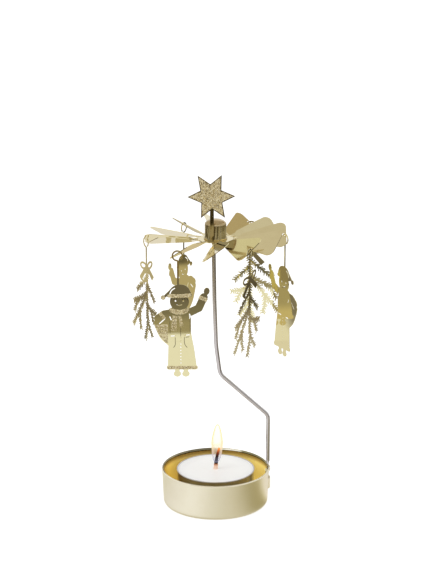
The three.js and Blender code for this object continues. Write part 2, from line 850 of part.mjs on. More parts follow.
// One side of a branch: needles like the teeth of a comb, leaning towards the branch's tip
function needle_side(curve, side) {
  const length = curve.getLength();
  const count = Math.floor(length / twig.needle_spacing);
  const width_at = (along) => twig.branch_width + (twig.branch_tip - twig.branch_width) * along;
  const points = [];
  const edge_point = (along) => {
    const middle = curve.getPointAt(along);
    const heading = curve.getTangentAt(along).angle() + (side * Math.PI) / 2;
    const half = width_at(along) / 2;
    return [middle.x + half * Math.cos(heading), middle.y + half * Math.sin(heading)];
  };
  for (let number = 0; number < count; number++) {
    const start = (2 * number + 1) / (2 * count);
    const root = edge_point(start);
    const heading = curve.getTangentAt(start).angle() + side * turn_of(twig.needle_angle);
    const far = edge_point(Math.min(start + twig.needle_width / length, 1));
    const tip = [
      root[0] + twig.needle_length * Math.cos(heading),
      root[1] + twig.needle_length * Math.sin(heading),
    ];
    points.push(root, tip, far);
  }
  return [edge_point(0), ...points, edge_point(1)];
}

function make_branch(shares) {
  const knots = shares.map(twig_at).map(([x, y]) => new THREE.Vector2(x, y));
  const curve = new THREE.SplineCurve(knots);
  return plate([...needle_side(curve, -1), ...needle_side(curve, 1).reverse()]);
}

function bow_plates() {
  const knot = knot_share * bow.width;
  const plates = [plate(ellipse(bow_at([0, 0]), knot, knot, 0, dot_sides))];
  for (const loop of loop_shares) {
    const [across, down] = [loop.across * bow.width, loop.down * bow.width];
    const middle = bow_at(loop.middle);
    const outer = plate(ellipse(middle, across, down, loop.turn, small_sides));
    const inner = [across - bow.loop_ribbon, down - bow.loop_ribbon];
    plates.push(outer.subtract(cutter(ellipse(middle, inner[0], inner[1], loop.turn, small_sides))));
  }
  for (const tail of tail_shares) {
    plates.push(plate(bar(bow_at([0, 0]), bow_at(tail), bow.tail_root, bow.tail_end)));
  }
  return plates;
}

function make_twig() {
  const foot = [stem_top[0], -twig.drop];
  return union([
    ...hook_and_stem(foot),
    ...bow_plates(),
    ...branch_shares.map(make_branch),
  ]);
}

// Assembly

const carousel = new THREE.Group();
carousel.add(piece("bowl", make_bowl(), satin_brass));
carousel.add(piece("stand_wire", make_stand(), steel));
carousel.add(piece("tealight_cup", make_cup(), aluminium));
carousel.add(piece("tealight_wax", make_wax(), white_wax));
carousel.add(piece("tealight_wick", make_wick(), burnt_wick));
carousel.add(piece("wick_holder", make_holder(), steel));

const rotor_mesh = piece("rotor", make_rotor(), blade_brass);
rotor_mesh.position.z = rotor.level;
carousel.add(rotor_mesh);
carousel.add(piece("hub_cap", make_cap(), polished_brass));
carousel.add(piece("pivot_seat", make_pivot(), polished_brass));
carousel.add(piece("star_topper", make_star(), polished_brass));

const figure_solid = make_figure();
const twig_solid = make_twig();
for (let blade = 0; blade < rotor.blades; blade += 2) {
  const is_figure = blade % 4 === 0;
  const number = Math.floor(blade / 4) + 1;
  const name = is_figure ? `figure_pendant_${number}` : `twig_pendant_${number}`;
  const mesh = piece(name, is_figure ? figure_solid : twig_solid, polished_brass);
  mesh.rotation.x = Math.PI / 2;
  const hanger = new THREE.Group();
  const angle = turn_of(blade_angle(blade));
  hanger.position.set(
    hook_radius * Math.cos(angle),
    hook_radius * Math.sin(angle),
    rotor.level + rise_at(hook_radius, blade),
  );
  hanger.rotation.z = angle + turn_of(pendant.turn);
  hanger.add(mesh);
  carousel.add(hanger);
}

export default carousel;
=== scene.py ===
# %% [markdown]
# # A candle carousel of brass sheet, steel wire and wax
# A tealight burns in a shallow brass bowl. Its hot air turns a rotor of thin sheet that
# balances on a bent wire, and six flat pendants hang from every second blade. The CAD frame
# gives each piece its place and its body. This script dresses that frame: it makes the round
# pieces round, the sheet crisp, and gives every surface the finish of the real one.
# Sizes are written in millimetres and become metres when a mesh is made.

# %% The frame, and the camera of the photograph
from contextlib import contextmanager
import math

import bmesh
import bpy
from mathutils import Matrix, Vector


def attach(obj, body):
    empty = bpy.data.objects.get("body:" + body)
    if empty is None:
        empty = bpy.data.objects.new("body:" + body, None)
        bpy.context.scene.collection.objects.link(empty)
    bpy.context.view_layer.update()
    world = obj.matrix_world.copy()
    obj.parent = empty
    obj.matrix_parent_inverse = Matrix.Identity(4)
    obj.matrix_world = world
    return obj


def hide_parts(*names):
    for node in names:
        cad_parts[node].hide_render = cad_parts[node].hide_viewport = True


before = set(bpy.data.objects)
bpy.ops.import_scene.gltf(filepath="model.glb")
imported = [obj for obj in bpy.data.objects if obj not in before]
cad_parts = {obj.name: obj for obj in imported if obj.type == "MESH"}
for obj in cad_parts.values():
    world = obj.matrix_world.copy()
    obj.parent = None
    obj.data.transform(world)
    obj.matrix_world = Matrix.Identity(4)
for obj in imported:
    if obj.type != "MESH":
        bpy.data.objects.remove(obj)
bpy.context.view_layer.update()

mm = 0.001


def linked(name, data):
    """A new object of the scene."""
    piece = bpy.data.objects.new(name, data)
    bpy.context.collection.objects.link(piece)
    return piece


camera_data = bpy.data.cameras.new("camera")
camera_data.lens = 105.7
camera_tilt = 15.534  # degrees below the horizon
camera = linked("camera", camera_data)
camera.location = Vector((0.7, -787.24, 327.73)) * mm
camera.rotation_euler = (math.radians(90 - camera_tilt), 0, 0)
bpy.context.scene.camera = camera

# %% [markdown]
# ## Outlines
# Most of this object is cut from flat sheet, so most shapes start as an outline in the plane:
# arcs and ellipses, bars, and smooth loops through a few knots. A loop through knots could also
# be a curve object, but a plain list of points is easy to cut, join and thicken.

# %% Outlines in the plane
curve_steps = 8  # points between two knots of a smooth loop


def arc(middle, radius, start, end, steps=10):
    """Points of an arc, with its start and end in degrees."""
    angles = [math.radians(start + (end - start) * step / steps) for step in range(steps + 1)]
    return [(middle[0] + radius * math.cos(a), middle[1] + radius * math.sin(a)) for a in angles]


def round_steps(sides):
    """The cosine and sine of even steps round a circle."""
    angles = [math.tau * side / sides for side in range(sides)]
    return [(math.cos(angle), math.sin(angle)) for angle in angles]


def ellipse(middle, across, down, turn=0, sides=40):
    """A closed ellipse, tilted by turn degrees."""
    along, beside = math.cos(math.radians(turn)), math.sin(math.radians(turn))
    return [(
        middle[0] + across * x * along - down * y * beside,
        middle[1] + across * x * beside + down * y * along,
    ) for x, y in round_steps(sides)]


def through(knots, closed=True, steps=curve_steps):
    """A smooth line through the knots."""
    count = len(knots)
    last = count if closed else count - 1
    points = []
    for at in range(last):
        p0, p1, p2, p3 = [
            Vector(knots[(at + k) % count] if closed else knots[min(max(at + k, 0), count - 1)])
            for k in (-1, 0, 1, 2)
        ]
        for step in range(steps):
            t = step / steps
            points.append(tuple(
                p1 + (p2 - p0) * t / 2
                + (2 * p0 - 5 * p1 + 4 * p2 - p3) * t * t / 2
                + (3 * (p1 - p2) + p3 - p0) * t ** 3 / 2
            ))
    return points if closed else points + [tuple(knots[-1])]


def bar(start, end, width_start, width_end):
    """A straight bar between two points."""
    a, b = Vector(start), Vector(end)
    side = (b - a).orthogonal().normalized() / 2
    corners = [a + side * width_start, b + side * width_end, b - side * width_end, a - side * width_start]
    return [tuple(corner) for corner in corners]


def stroke(points, width, sides=20):
    """The bars and round joints of a line of even width."""
    shapes = [ellipse(point, width / 2, width / 2, 0, sides) for point in points]
    return shapes + [bar(a, b, width, width) for a, b in zip(points, points[1:])]


print("a smooth loop has", curve_steps, "points between two knots")

# %% [markdown]
# ## From outlines to pieces
# A turned piece is its profile carried round the axis. A sheet piece is a set of prisms joined
# and cut by the boolean solver for closed bodies. What comes out is drawn again as one filled
# curve with a very small chamfer: real cut sheet has one, and it is what draws the thin bright
# line along an edge.

# %% Pieces from points and faces
smooth_angle = math.radians(32)
sheet, chamfer = 0.3, 0.04  # thickness of the cut sheet, and the bevel of its edges
weld, fine_weld, short_step = 2e-3, 1e-4, 0.03  # distances under which points count as one


@contextmanager
def edited(mesh):
    """A mesh opened for bmesh operators, and written back at the end."""
    body = bmesh.new()
    body.from_mesh(mesh)
    yield body
    body.to_mesh(mesh)
    body.free()


def plain_mesh(name, points, faces=(), edges=()):
    """A mesh of points and faces as they are."""
    mesh = bpy.data.meshes.new(name)
    mesh.from_pydata(points, edges, faces)
    return mesh


def ring_faces(rings, sides, capped=True):
    """The faces between rings of points, with the first and the last ring closed if capped."""
    faces = []
    for start in range(0, (rings - 1) * sides, sides):
        for side in range(sides):
            a, b = start + side, start + (side + 1) % sides
            faces.append((a, b, b + sides, a + sides))
    if capped:
        last = (rings - 1) * sides
        faces += [tuple(range(sides))[::-1], tuple(range(last, last + sides))]
    return faces


def settle(mesh):
    """Turns the faces outwards and shades smooth except across sharp edges."""
    with edited(mesh) as body:
        bmesh.ops.recalc_face_normals(body, faces=body.faces)
    mesh.shade_smooth()
    mesh.set_sharp_from_angle(angle=smooth_angle)


def new_piece(name, points, faces, material):
    """A piece from points in millimetres, with its place in its mesh."""
    mesh = plain_mesh(name, [Vector(point) * mm for point in points], faces)
    mesh.materials.append(material)
    settle(mesh)
    return linked(name, mesh)


def turned(profile, segments):
    """Points and faces of a closed profile of (radius, height) carried round the axis."""
    points, rings = [], []
    for radius, height in profile:
        if radius < 1e-9:
            rings.append([len(points)] * segments)
            points.append((0, 0, height))
            continue
        rings.append(range(len(points), len(points) + segments))
        points += [(radius * x, radius * y, height) for x, y in round_steps(segments)]
    faces = []
    for at, low in enumerate(rings):
        high = rings[(at + 1) % len(rings)]
        for step in range(segments):
            after = (step + 1) % segments
            corners = list(dict.fromkeys([low[step], low[after], high[after], high[step]]))
            if len(corners) > 2:
                faces.append(corners)
    return points, faces


def top_outlines(solid):
    """The closed outlines round the top faces of a flat solid, without their very short steps."""
    outlines, following = [], {}
    with edited(solid) as body:
        bmesh.ops.remove_doubles(body, verts=body.verts, dist=weld)
        top = dict.fromkeys(
            face for face in body.faces if face.normal.z > 0.9 and face.calc_center_median().z > 0
        )
        for face in top:
            for loop in face.loops:
                if sum(other in top for other in loop.edge.link_faces) == 1:
                    following.setdefault(loop.vert, []).append(loop.link_loop_next.vert)
        while following:
            start = here = next(iter(following))
            line = []
            while here in following:
                line.append(here.co.xy)
                after = following[here].pop()
                if not following[here]:
                    del following[here]
                here = after
                if here == start:
                    break
            outlines.append([p for p, q in zip(line, line[1:] + line[:1]) if (p - q).length > short_step])
    return [outline for outline in outlines if len(outline) > 2]


def cut_sheet(solid):
    """A joined sheet drawn again as one filled outline, with a fine chamfer along every edge."""
    drawing = bpy.data.curves.new("drawing", "CURVE")
    drawing.dimensions, drawing.fill_mode = "2D", "BOTH"
    drawing.extrude, drawing.bevel_depth, drawing.bevel_resolution = sheet / 2 - chamfer, chamfer, 0
    drawing.offset = -chamfer
    for outline in top_outlines(solid):
        spline = drawing.splines.new("POLY")
        spline.points.add(len(outline) - 1)
        for point, place in zip(spline.points, outline):
            point.co = (place.x, place.y, 0, 1)
        spline.use_cyclic_u = True
    carrier = linked("drawing", drawing)
    mesh = evaluated(carrier)
    bpy.data.objects.remove(carrier)
    with edited(mesh) as body:
        bmesh.ops.remove_doubles(body, verts=body.verts, dist=fine_weld)
    return mesh


def prism(outline, low, high):
    """An outline raised between two heights, as a closed solid in millimetres."""
    area = sum(a[0] * b[1] - b[0] * a[1] for a, b in zip(outline, outline[1:] + outline[:1]))
    loop = outline if area > 0 else outline[::-1]
    count = len(loop)
    points = [(x, y, low) for x, y in loop] + [(x, y, high) for x, y in loop]
    sides = [(i, (i + 1) % count, count + (i + 1) % count, count + i) for i in range(count)]
    ends = [tuple(range(count))[::-1], tuple(range(count, 2 * count))]
    return bpy.data.objects.new("prism", plain_mesh("prism", points, [*ends, *sides]))


def evaluated(piece):
    """The plain mesh of an object after its modifiers."""
    bpy.context.view_layer.update()
    graph = bpy.context.evaluated_depsgraph_get()
    return bpy.data.meshes.new_from_object(piece.evaluated_get(graph))


def combined(first, joins=(), cuts=()):
    """The mesh of a solid joined with some solids and cut by others."""
    parts = [first, *joins, *cuts]
    for part in parts:
        bpy.context.collection.objects.link(part)
    for operation, others in (("UNION", joins), ("DIFFERENCE", cuts)):
        for other in others:
            step = first.modifiers.new("step", "BOOLEAN")
            step.operation, step.object, step.solver = operation, other, "MANIFOLD"
    mesh = evaluated(first)
    for part in parts:
        bpy.data.objects.remove(part)
    return mesh


def placed(name, mesh, place, material=None):
    """A piece whose finished mesh is carried to its place."""
    mesh = mesh.copy()
    mesh.transform(place)
    if material:
        mesh.materials.clear()
        mesh.materials.append(material)
    settle(mesh)
    return linked(name, mesh)


print("helpers ready, sharp above", round(math.degrees(smooth_angle)), "degrees")

# %% [markdown]
# ## Shader groups
# Two effects come back in many finishes. Rolled sheet is never quite even: it has soft smudges,
# a fine grain and a slight waviness that bends its reflections. Glitter is a layer of tiny
# grains, each tilted its own way. Each is one node group with named inputs, placed in the
# materials with their own values. The patterns read Object coordinates, turned into millimetres.

# %% Node helpers
def add_node(tree, kind, values=(), **settings):
    """A node with its settings and the default values of its inputs."""
    node = tree.nodes.new(kind)
    for key, value in settings.items():
        setattr(node, key, value)
    set_inputs(node, dict(values))
    return node


def set_inputs(node, values):
    """Gives inputs of a node plain values."""
    for key, value in values.items():
        node.inputs[key].default_value = value


def connect(tree, pairs):
    """Links the sockets of each pair."""
    for source, target in pairs:
        tree.links.new(source, target)


def millimetres(tree):
    """Object coordinates in millimetres."""
    source = add_node(tree, "ShaderNodeTexCoord")
    scaled = add_node(tree, "ShaderNodeMapping", {"Scale": (1 / mm, 1 / mm, 1 / mm)})
    connect(tree, [(source.outputs["Object"], scaled.inputs["Vector"])])
    return scaled.outputs["Vector"]


def ramp(tree, stops, value):
    """The colour of a ramp that is fed by a value."""
    node = add_node(tree, "ShaderNodeValToRGB")
    while len(node.color_ramp.elements) < len(stops):
        node.color_ramp.elements.new(1)
    for element, (position, color) in zip(node.color_ramp.elements, stops):
        element.position, element.color = position, (*color, 1)
    connect(tree, [(value, node.inputs["Fac"])])
    return node.outputs["Color"]


def product(tree, first, second):
    """Two values multiplied."""
    node = add_node(tree, "ShaderNodeMath", operation="MULTIPLY")
    connect(tree, [(first, node.inputs[0]), (second, node.inputs[1])])
    return node.outputs[0]


def multiplied(tree, first, second, target):
    """Links two colours, multiplied, to a socket."""
    node = add_node(tree, "ShaderNodeMix", {0: 1.0}, data_type="RGBA", blend_type="MULTIPLY")
    connect(tree, [(first, node.inputs[6]), (second, node.inputs[7]), (node.outputs[2], target)])


def compass(tree, vector):
    """The direction of a place round the Z axis, from 0 to 1."""
    node = add_node(tree, "ShaderNodeTexGradient", gradient_type="RADIAL")
    connect(tree, [(vector, node.inputs["Vector"])])
    return node.outputs["Fac"]


def share_of_height(tree, low, high):
    """How far a place is on its way between two heights in mm, from 0 to 1."""
    split = add_node(tree, "ShaderNodeSeparateXYZ")
    reach = add_node(tree, "ShaderNodeMapRange", {"From Min": low, "From Max": high})
    connect(tree, [(millimetres(tree), split.inputs[0]), (split.outputs["Z"], reach.inputs["Value"])])
    return reach.outputs["Result"]


def new_group(name, inputs, outputs):
    """A shader node group with its sockets, and its inner input and output nodes."""
    tree = bpy.data.node_groups.new(name, "ShaderNodeTree")
    kinds = {"color": "NodeSocketColor", "float": "NodeSocketFloat", "vector": "NodeSocketVector"}
    for label, kind in inputs:
        tree.interface.new_socket(label, in_out="INPUT", socket_type=kinds[kind])
    for label, kind in outputs:
        tree.interface.new_socket(label, in_out="OUTPUT", socket_type=kinds[kind])
    return tree, tree.nodes.new("NodeGroupInput").outputs, tree.nodes.new("NodeGroupOutput").inputs


print("nodes read object coordinates in millimetres")

# %% Rolled sheet: smudges, grain and waves
sheet_tree, inlet, outlet = new_group(
    "rolled_sheet",
    [("Tint", "color"), ("Deep", "color"), ("Smudge", "float"), ("Roughness", "float"),
     ("Grain", "float"), ("Wave", "float")],
    [("Color", "color"), ("Roughness", "float"), ("Normal", "vector")],
)
place = millimetres(sheet_tree)
smudge = add_node(sheet_tree, "ShaderNodeTexNoise", {"Scale": 0.16, "Detail": 4, "Roughness": 0.6})
grain = add_node(sheet_tree, "ShaderNodeTexNoise", {"Scale": 5.0, "Detail": 2})
wave = add_node(sheet_tree, "ShaderNodeTexNoise", {"Scale": 0.22, "Detail": 1})
patch = add_node(sheet_tree, "ShaderNodeMapRange", {"From Min": 0.42, "From Max": 0.72}, clamp=True)
tone = add_node(sheet_tree, "ShaderNodeMix", data_type="RGBA")
centred = add_node(sheet_tree, "ShaderNodeMath", {1: -0.5}, operation="ADD")
spread = add_node(sheet_tree, "ShaderNodeMath", operation="MULTIPLY_ADD")
bump = add_node(sheet_tree, "ShaderNodeBump", {"Distance": 0.06 * mm})
connect(sheet_tree, [
    *[(place, texture.inputs["Vector"]) for texture in (smudge, grain, wave)],
    (smudge.outputs["Fac"], patch.inputs["Value"]), (inlet["Tint"], tone.inputs[6]),
    (product(sheet_tree, patch.outputs["Result"], inlet["Smudge"]), tone.inputs[0]),
    (inlet["Deep"], tone.inputs[7]), (tone.outputs[2], outlet["Color"]),
    (grain.outputs["Fac"], centred.inputs[0]), (centred.outputs[0], spread.inputs[0]),
    (inlet["Grain"], spread.inputs[1]), (inlet["Roughness"], spread.inputs[2]),
    (spread.outputs[0], outlet["Roughness"]), (wave.outputs["Fac"], bump.inputs["Height"]),
    (inlet["Wave"], bump.inputs["Strength"]), (bump.outputs["Normal"], outlet["Normal"]),
])
print("group", sheet_tree.name, "has", len(sheet_tree.nodes), "nodes")

# %% Glitter: each grain has its own tone and its own tilt
glitter_tree, inlet, outlet = new_group(
    "glitter_grains",
    [("Light", "color"), ("Dark", "color"), ("Grain size", "float"), ("Tilt", "float")],
    [("Color", "color"), ("Roughness", "float"), ("Normal", "vector")],
)
place = millimetres(glitter_tree)
density = add_node(glitter_tree, "ShaderNodeMath", {0: 1.0}, operation="DIVIDE")
cells = add_node(glitter_tree, "ShaderNodeTexVoronoi", {"Randomness": 1.0})
split = add_node(glitter_tree, "ShaderNodeSeparateColor")
tone = add_node(glitter_tree, "ShaderNodeMix", data_type="RGBA")
matt = add_node(glitter_tree, "ShaderNodeMapRange", {"To Min": 0.12, "To Max": 0.5})
lean = add_node(glitter_tree, "ShaderNodeVectorMath", {1: (-0.5, -0.5, -0.5)}, operation="ADD")
tilt = add_node(glitter_tree, "ShaderNodeVectorMath", operation="SCALE")
facing = add_node(glitter_tree, "ShaderNodeNewGeometry")
added = add_node(glitter_tree, "ShaderNodeVectorMath", operation="ADD")
unit = add_node(glitter_tree, "ShaderNodeVectorMath", operation="NORMALIZE")
connect(glitter_tree, [
    (place, cells.inputs["Vector"]), (inlet["Grain size"], density.inputs[1]),
    (density.outputs[0], cells.inputs["Scale"]), (cells.outputs["Color"], split.inputs["Color"]),
    (split.outputs["Red"], tone.inputs[0]), (inlet["Dark"], tone.inputs[6]),
    (inlet["Light"], tone.inputs[7]), (tone.outputs[2], outlet["Color"]),
    (split.outputs["Green"], matt.inputs["Value"]), (matt.outputs["Result"], outlet["Roughness"]),
    (cells.outputs["Color"], lean.inputs[0]), (lean.outputs[0], tilt.inputs[0]),
    (inlet["Tilt"], tilt.inputs["Scale"]), (facing.outputs["Normal"], added.inputs[0]),
    (tilt.outputs[0], added.inputs[1]), (added.outputs[0], unit.inputs[0]),
    (unit.outputs[0], outlet["Normal"]),
])
print("group", glitter_tree.name, "has", len(glitter_tree.nodes), "nodes")

# %% [markdown]
# ## The finishes
# Brass shows mostly what it mirrors, so its colour is the tint of that mirror image. The bowl is
# satin and pale outside and a deeper, glossier gold inside, the sheet pieces are brighter, and
# the pressings are polished. Each finish is one material that takes the rolled-sheet group, and
# some carry painted light: painted shade, highlights, reflections and candle glow, by height or direction.

# %% Metals
def simple(name, color, roughness):
    """A material with one shader, ready for its own pattern."""
    material = bpy.data.materials.new(name)
    material.use_nodes = True
    shader = material.node_tree.nodes["Principled BSDF"]
    set_inputs(shader, {"Base Color": (*color, 1), "Roughness": roughness})
    return material, material.node_tree, shader


def grouped_metal(name, group_tree, values):
    """A metal whose colour, roughness and normal come from a shader group."""
    material, tree, shader = simple(name, (1, 1, 1), 0.5)
    set_inputs(shader, {"Metallic": 1.0})
    group = add_node(tree, "ShaderNodeGroup", node_tree=group_tree)
    set_inputs(group, values)
    connect(tree, [(group.outputs[label], shader.inputs[end]) for label, end in (
        ("Color", "Base Color"), ("Roughness", "Roughness"), ("Normal", "Normal"),
    )])
    return material


def metal(name, tint, deep, roughness, smudge, grain, wave):
    """Rolled sheet in two tones."""
    return grouped_metal(name, sheet_tree, {
        "Tint": (*tint, 1), "Deep": (*deep, 1), "Smudge": smudge,
        "Roughness": roughness, "Grain": grain, "Wave": wave,
    })


def toned(material, value, stops):
    """Multiplies the colour of a metal by the tones of a ramp."""
    tree = material.node_tree
    color = tree.nodes["Principled BSDF"].inputs["Base Color"]
    multiplied(tree, color.links[0].from_socket, ramp(tree, stops, value), color)


def painted_glow(material, first, second):
    """Lets a metal glow with the product of two colours: painted candle light that no lamp gives it."""
    tree = material.node_tree
    shader = tree.nodes["Principled BSDF"]
    multiplied(tree, first, second, shader.inputs["Emission Color"])
    set_inputs(shader, {"Emission Strength": 1.0})


bowl_outside = metal("bowl_outside", (0.86, 0.81, 0.65), (0.82, 0.76, 0.58), 0.34, 0.4, 0.1, 0.12)
bowl_inside = metal("bowl_inside", (1.0, 0.83, 0.33), (0.95, 0.74, 0.24), 0.34, 0.5, 0.1, 0.25)
rim_brass = metal("rim_brass", (0.95, 0.93, 0.8), (0.6, 0.56, 0.4), 0.12, 0.7, 0.1, 0.5)
blade_brass = metal("blade_brass", (0.74, 0.65, 0.38), (0.66, 0.56, 0.31), 0.07, 0.35, 0.04, 0.12)
star_brass = metal("star_brass", (0.7, 0.6, 0.36), (0.56, 0.47, 0.26), 0.1, 0.5, 0.05, 0.2)
sheet_brass = metal("sheet_brass", (0.775, 0.715, 0.43), (0.74, 0.67, 0.39), 0.03, 0.35, 0.02, 0.05)
cap_brass = metal("cap_brass", (0.66, 0.55, 0.27), (0.55, 0.44, 0.19), 0.06, 0.4, 0.04, 0.15)
dome_brass = metal("dome_brass", (0.36, 0.32, 0.2), (0.2, 0.17, 0.09), 0.12, 1.0, 0.06, 0.5)
etched_brass = metal("etched_brass", (0.2, 0.16, 0.09), (0.12, 0.1, 0.06), 0.4, 0.5, 0.1, 0.2)
cup_aluminium = metal("cup_aluminium", (0.53, 0.51, 0.51), (0.4, 0.385, 0.385), 0.3, 0.4, 0.08, 0.6)
# painted shade: the stem and the lower points of the star are darker, as they mirror less light
toned(star_brass, share_of_height(star_brass.node_tree, 136, 152), [
    (0.0, (0.5, 0.47, 0.4)), (0.5, (0.5, 0.47, 0.4)), (0.9, (1, 1, 1)),
])
print("metals:", len([m for m in bpy.data.materials if m.use_nodes]))

# %% The cap: a painted highlight on its dome, and painted glints of candle light on its flange and lip
tree = dome_brass.node_tree
# painted highlight: the top of the dome is lighter
toned(dome_brass, share_of_height(tree, 138, 143), [
    (0.0, (0.94, 0.92, 0.88)), (0.55, (0.96, 0.93, 0.88)), (0.85, (1.5, 1.28, 1.1)),
])
glints = add_node(tree, "ShaderNodeTexNoise", {"Scale": 0.55, "Detail": 2.0})
connect(tree, [(millimetres(tree), glints.inputs["Vector"])])
# painted glints: spots of candle light that glow on the flange and lip
painted_glints = ramp(tree, [(0.42, (0, 0, 0)), (0.6, (0.75, 0.5, 0.1))], glints.outputs["Fac"])
flange = ramp(tree, [(0.5, (1, 1, 1)), (0.62, (0, 0, 0))], share_of_height(tree, 133, 136))
painted_glow(dome_brass, painted_glints, flange)
print("cap finish:", len(tree.nodes), "nodes")

# %% Inside the bowl: a gold lacquer with painted shade under the bead and at the far left, and a painted glow of candle light
tree = bowl_inside.node_tree
set_inputs(tree.nodes["Principled BSDF"], {"Metallic": 0.25})
share, direction = share_of_height(tree, 10, 18), compass(tree, millimetres(tree))
# painted shade of the bead: darker near the top of the inside wall
toned(bowl_inside, share, [
    (0.0, (1, 1, 1)), (0.52, (1, 1, 1)), (0.72, (0.55, 0.45, 0.3)), (1.0, (0.5, 0.4, 0.26)),
])
toned(bowl_inside, direction, [  # painted shade at the far left
    (0.0, (0.5, 0.4, 0.26)), (0.05, (0.85, 0.8, 0.72)), (0.12, (1, 1, 1)), (0.9, (1, 1, 1)),
    (0.945, (0.98, 0.95, 0.9)), (0.975, (0.6, 0.5, 0.36)), (1.0, (0.5, 0.4, 0.26)),
])
painted_side_light = ramp(tree, [  # painted candle light, strongest left and right
    (0.0, (0, 0, 0)), (0.06, (0, 0, 0)), (0.44, (0, 0, 0)), (0.5, (0.34, 0.27, 0.07)),
    (0.6, (0.38, 0.29, 0.07)), (0.66, (0.14, 0.1, 0.02)), (0.75, (0.02, 0.01, 0)), (0.85, (0.08, 0.05, 0.01)),
    (0.93, (0.4, 0.26, 0.03)), (0.965, (0.2, 0.12, 0.01)), (0.99, (0, 0, 0)),
], direction)
falling = ramp(tree, [(0.0, (0.8, 0.8, 0.8)), (0.5, (1, 1, 1)), (0.75, (0.15, 0.15, 0.15))], share)
painted_glow(bowl_inside, painted_side_light, falling)
print("lacquer:", len(tree.nodes), "nodes")

# %% The rim: painted reflections, dark round its back and sides and light at the front, with one painted highlight at the back
tree = rim_brass.node_tree
# painted reflections and a painted highlight, by direction round the bowl
toned(rim_brass, compass(tree, millimetres(tree)), [
    (0.0, (0.18, 0.14, 0.07)), (0.045, (0.2, 0.15, 0.07)), (0.075, (0.9, 0.9, 0.85)),
    (0.44, (0.9, 0.9, 0.85)), (0.52, (0.3, 0.28, 0.18)), (0.66, (0.28, 0.26, 0.16)), (0.67, (0.9, 0.9, 0.85)),
    (0.685, (1, 1, 1)), (0.738, (1, 1, 1)), (0.747, (0.4, 0.37, 0.28)), (0.78, (0.2, 0.185, 0.13)),
    (0.86, (0.24, 0.21, 0.15)), (0.93, (0.36, 0.32, 0.22)), (1.0, (0.18, 0.14, 0.07)),
])
print("rim finish:", len(tree.nodes), "nodes")

# %% Glitter, as a layer and as loose grains
def glitter(name, light, dark, grain_size, tilt):
    """Metal grains in two tones, each tilted its own way."""
    return grouped_metal(name, glitter_tree, {
        "Light": (*light, 1), "Dark": (*dark, 1), "Grain size": grain_size, "Tilt": tilt,
    })


layer_grain, loose_grain = 0.5, 0.45
glitter_layer = glitter("glitter_layer", (0.9, 0.8, 0.52), (0.4, 0.32, 0.17), layer_grain, 0.9)
glitter_grain = glitter("glitter_grain", (1.0, 0.95, 0.76), (0.62, 0.52, 0.3), loose_grain, 0.3)
print("glitter grains are about", layer_grain, "mm across")

# %% [markdown]
# ## The bowl
# The real bowl is one pressing: a flat base with a round foot, a slightly flared wall and a rim
# that is rolled in. Two slits in the wall let three strips stand proud, one inwards and two
# outwards, and the wire's flat foot is pushed down between them. The shell is a turned profile,
# because a turned profile keeps its round foot and rolled rim exact. Inside and outside have
# different finishes, so each face takes its material from the part of the profile it came from.

# %% Bowl shell with its rolled rim
bowl_rim, bowl_base, bowl_height, bowl_wall = 26.55, 25.7, 18.0, 0.5
foot_round, bead_width, bead_height, bead_round, bead_curl = 1.9, 1.1, 1.3, 0.5, 0.2
foot_reach = bowl_rim - 0.75  # middle of the wire's flat foot
foot_width, strip_gap, strip_ramp, strip_root, slit = 2.6, 0.3, 1.5, 0.4, 0.4
outer_strip_low, outer_strip_height, inner_strip_height, strip_bevel = 7.6, 5.0, 2.2, 0.09
foot_thickness = 0.8


def wall_radius(height):
    """Outer radius of the flared wall at a height."""
    return bowl_base + (bowl_rim - bowl_base) / bowl_height * height


bead_low = bowl_height - bead_height
foot_middle = (wall_radius(foot_round) - foot_round, foot_round)
outside = [(0, 0), *arc(foot_middle, foot_round, 270, 360), (wall_radius(bead_low), bead_low)]
bead_middle, bead_reach = bowl_rim - bead_round, bead_width - bead_round
rim = [
    *arc((bead_middle, bowl_height - bead_round), bead_round, 0, 90, 6),
    *[(bead_middle + bead_reach * x, bead_low + bead_curl + (bead_height - bead_curl) * z)
      for x, z in arc((0, 0), 1, 90, 180, 12)],
    *[(bead_middle + bead_reach * x, bead_low + bead_curl + bead_curl * z)
      for x, z in arc((0, 0), 1, 180, 250, 5)[1:]],
]
inside = [
    (wall_radius(bead_low) - bowl_wall, bead_low),
    *arc(foot_middle, foot_round - bowl_wall, 360, 270), (0, bowl_wall),
]
shell_sides = 224
shell_mesh = plain_mesh("bowl_shell", *turned(outside + rim + inside, shell_sides))
shell = bpy.data.objects.new("bowl_shell", shell_mesh)
for finish in (bowl_outside, rim_brass, bowl_inside):
    shell_mesh.materials.append(finish)
settle(shell_mesh)
rim_start = len(outside) + 4  # the rim's outer corner still has the outside's finish
rim_end = len(outside) + len(rim) - 1
for number, face in enumerate(shell_mesh.polygons):
    owner = number // shell_sides  # the part of the profile that the face came from
    face.material_index = (owner >= rim_start) + (owner >= rim_end)
print("bowl shell:", len(shell_mesh.polygons), "faces")

# %% Window in the wall, and the three raised strips
window_half = foot_width / 2 + strip_gap + strip_ramp
window_in, window_out = bowl_rim - bead_width - 1, bowl_rim + 1
window = prism([
    (window_in, -window_half), (window_out, -window_half),
    (window_out, window_half), (window_in, window_half),
], outer_strip_low - slit, bowl_height + 1)
bowl_mesh = combined(shell, cuts=[window])


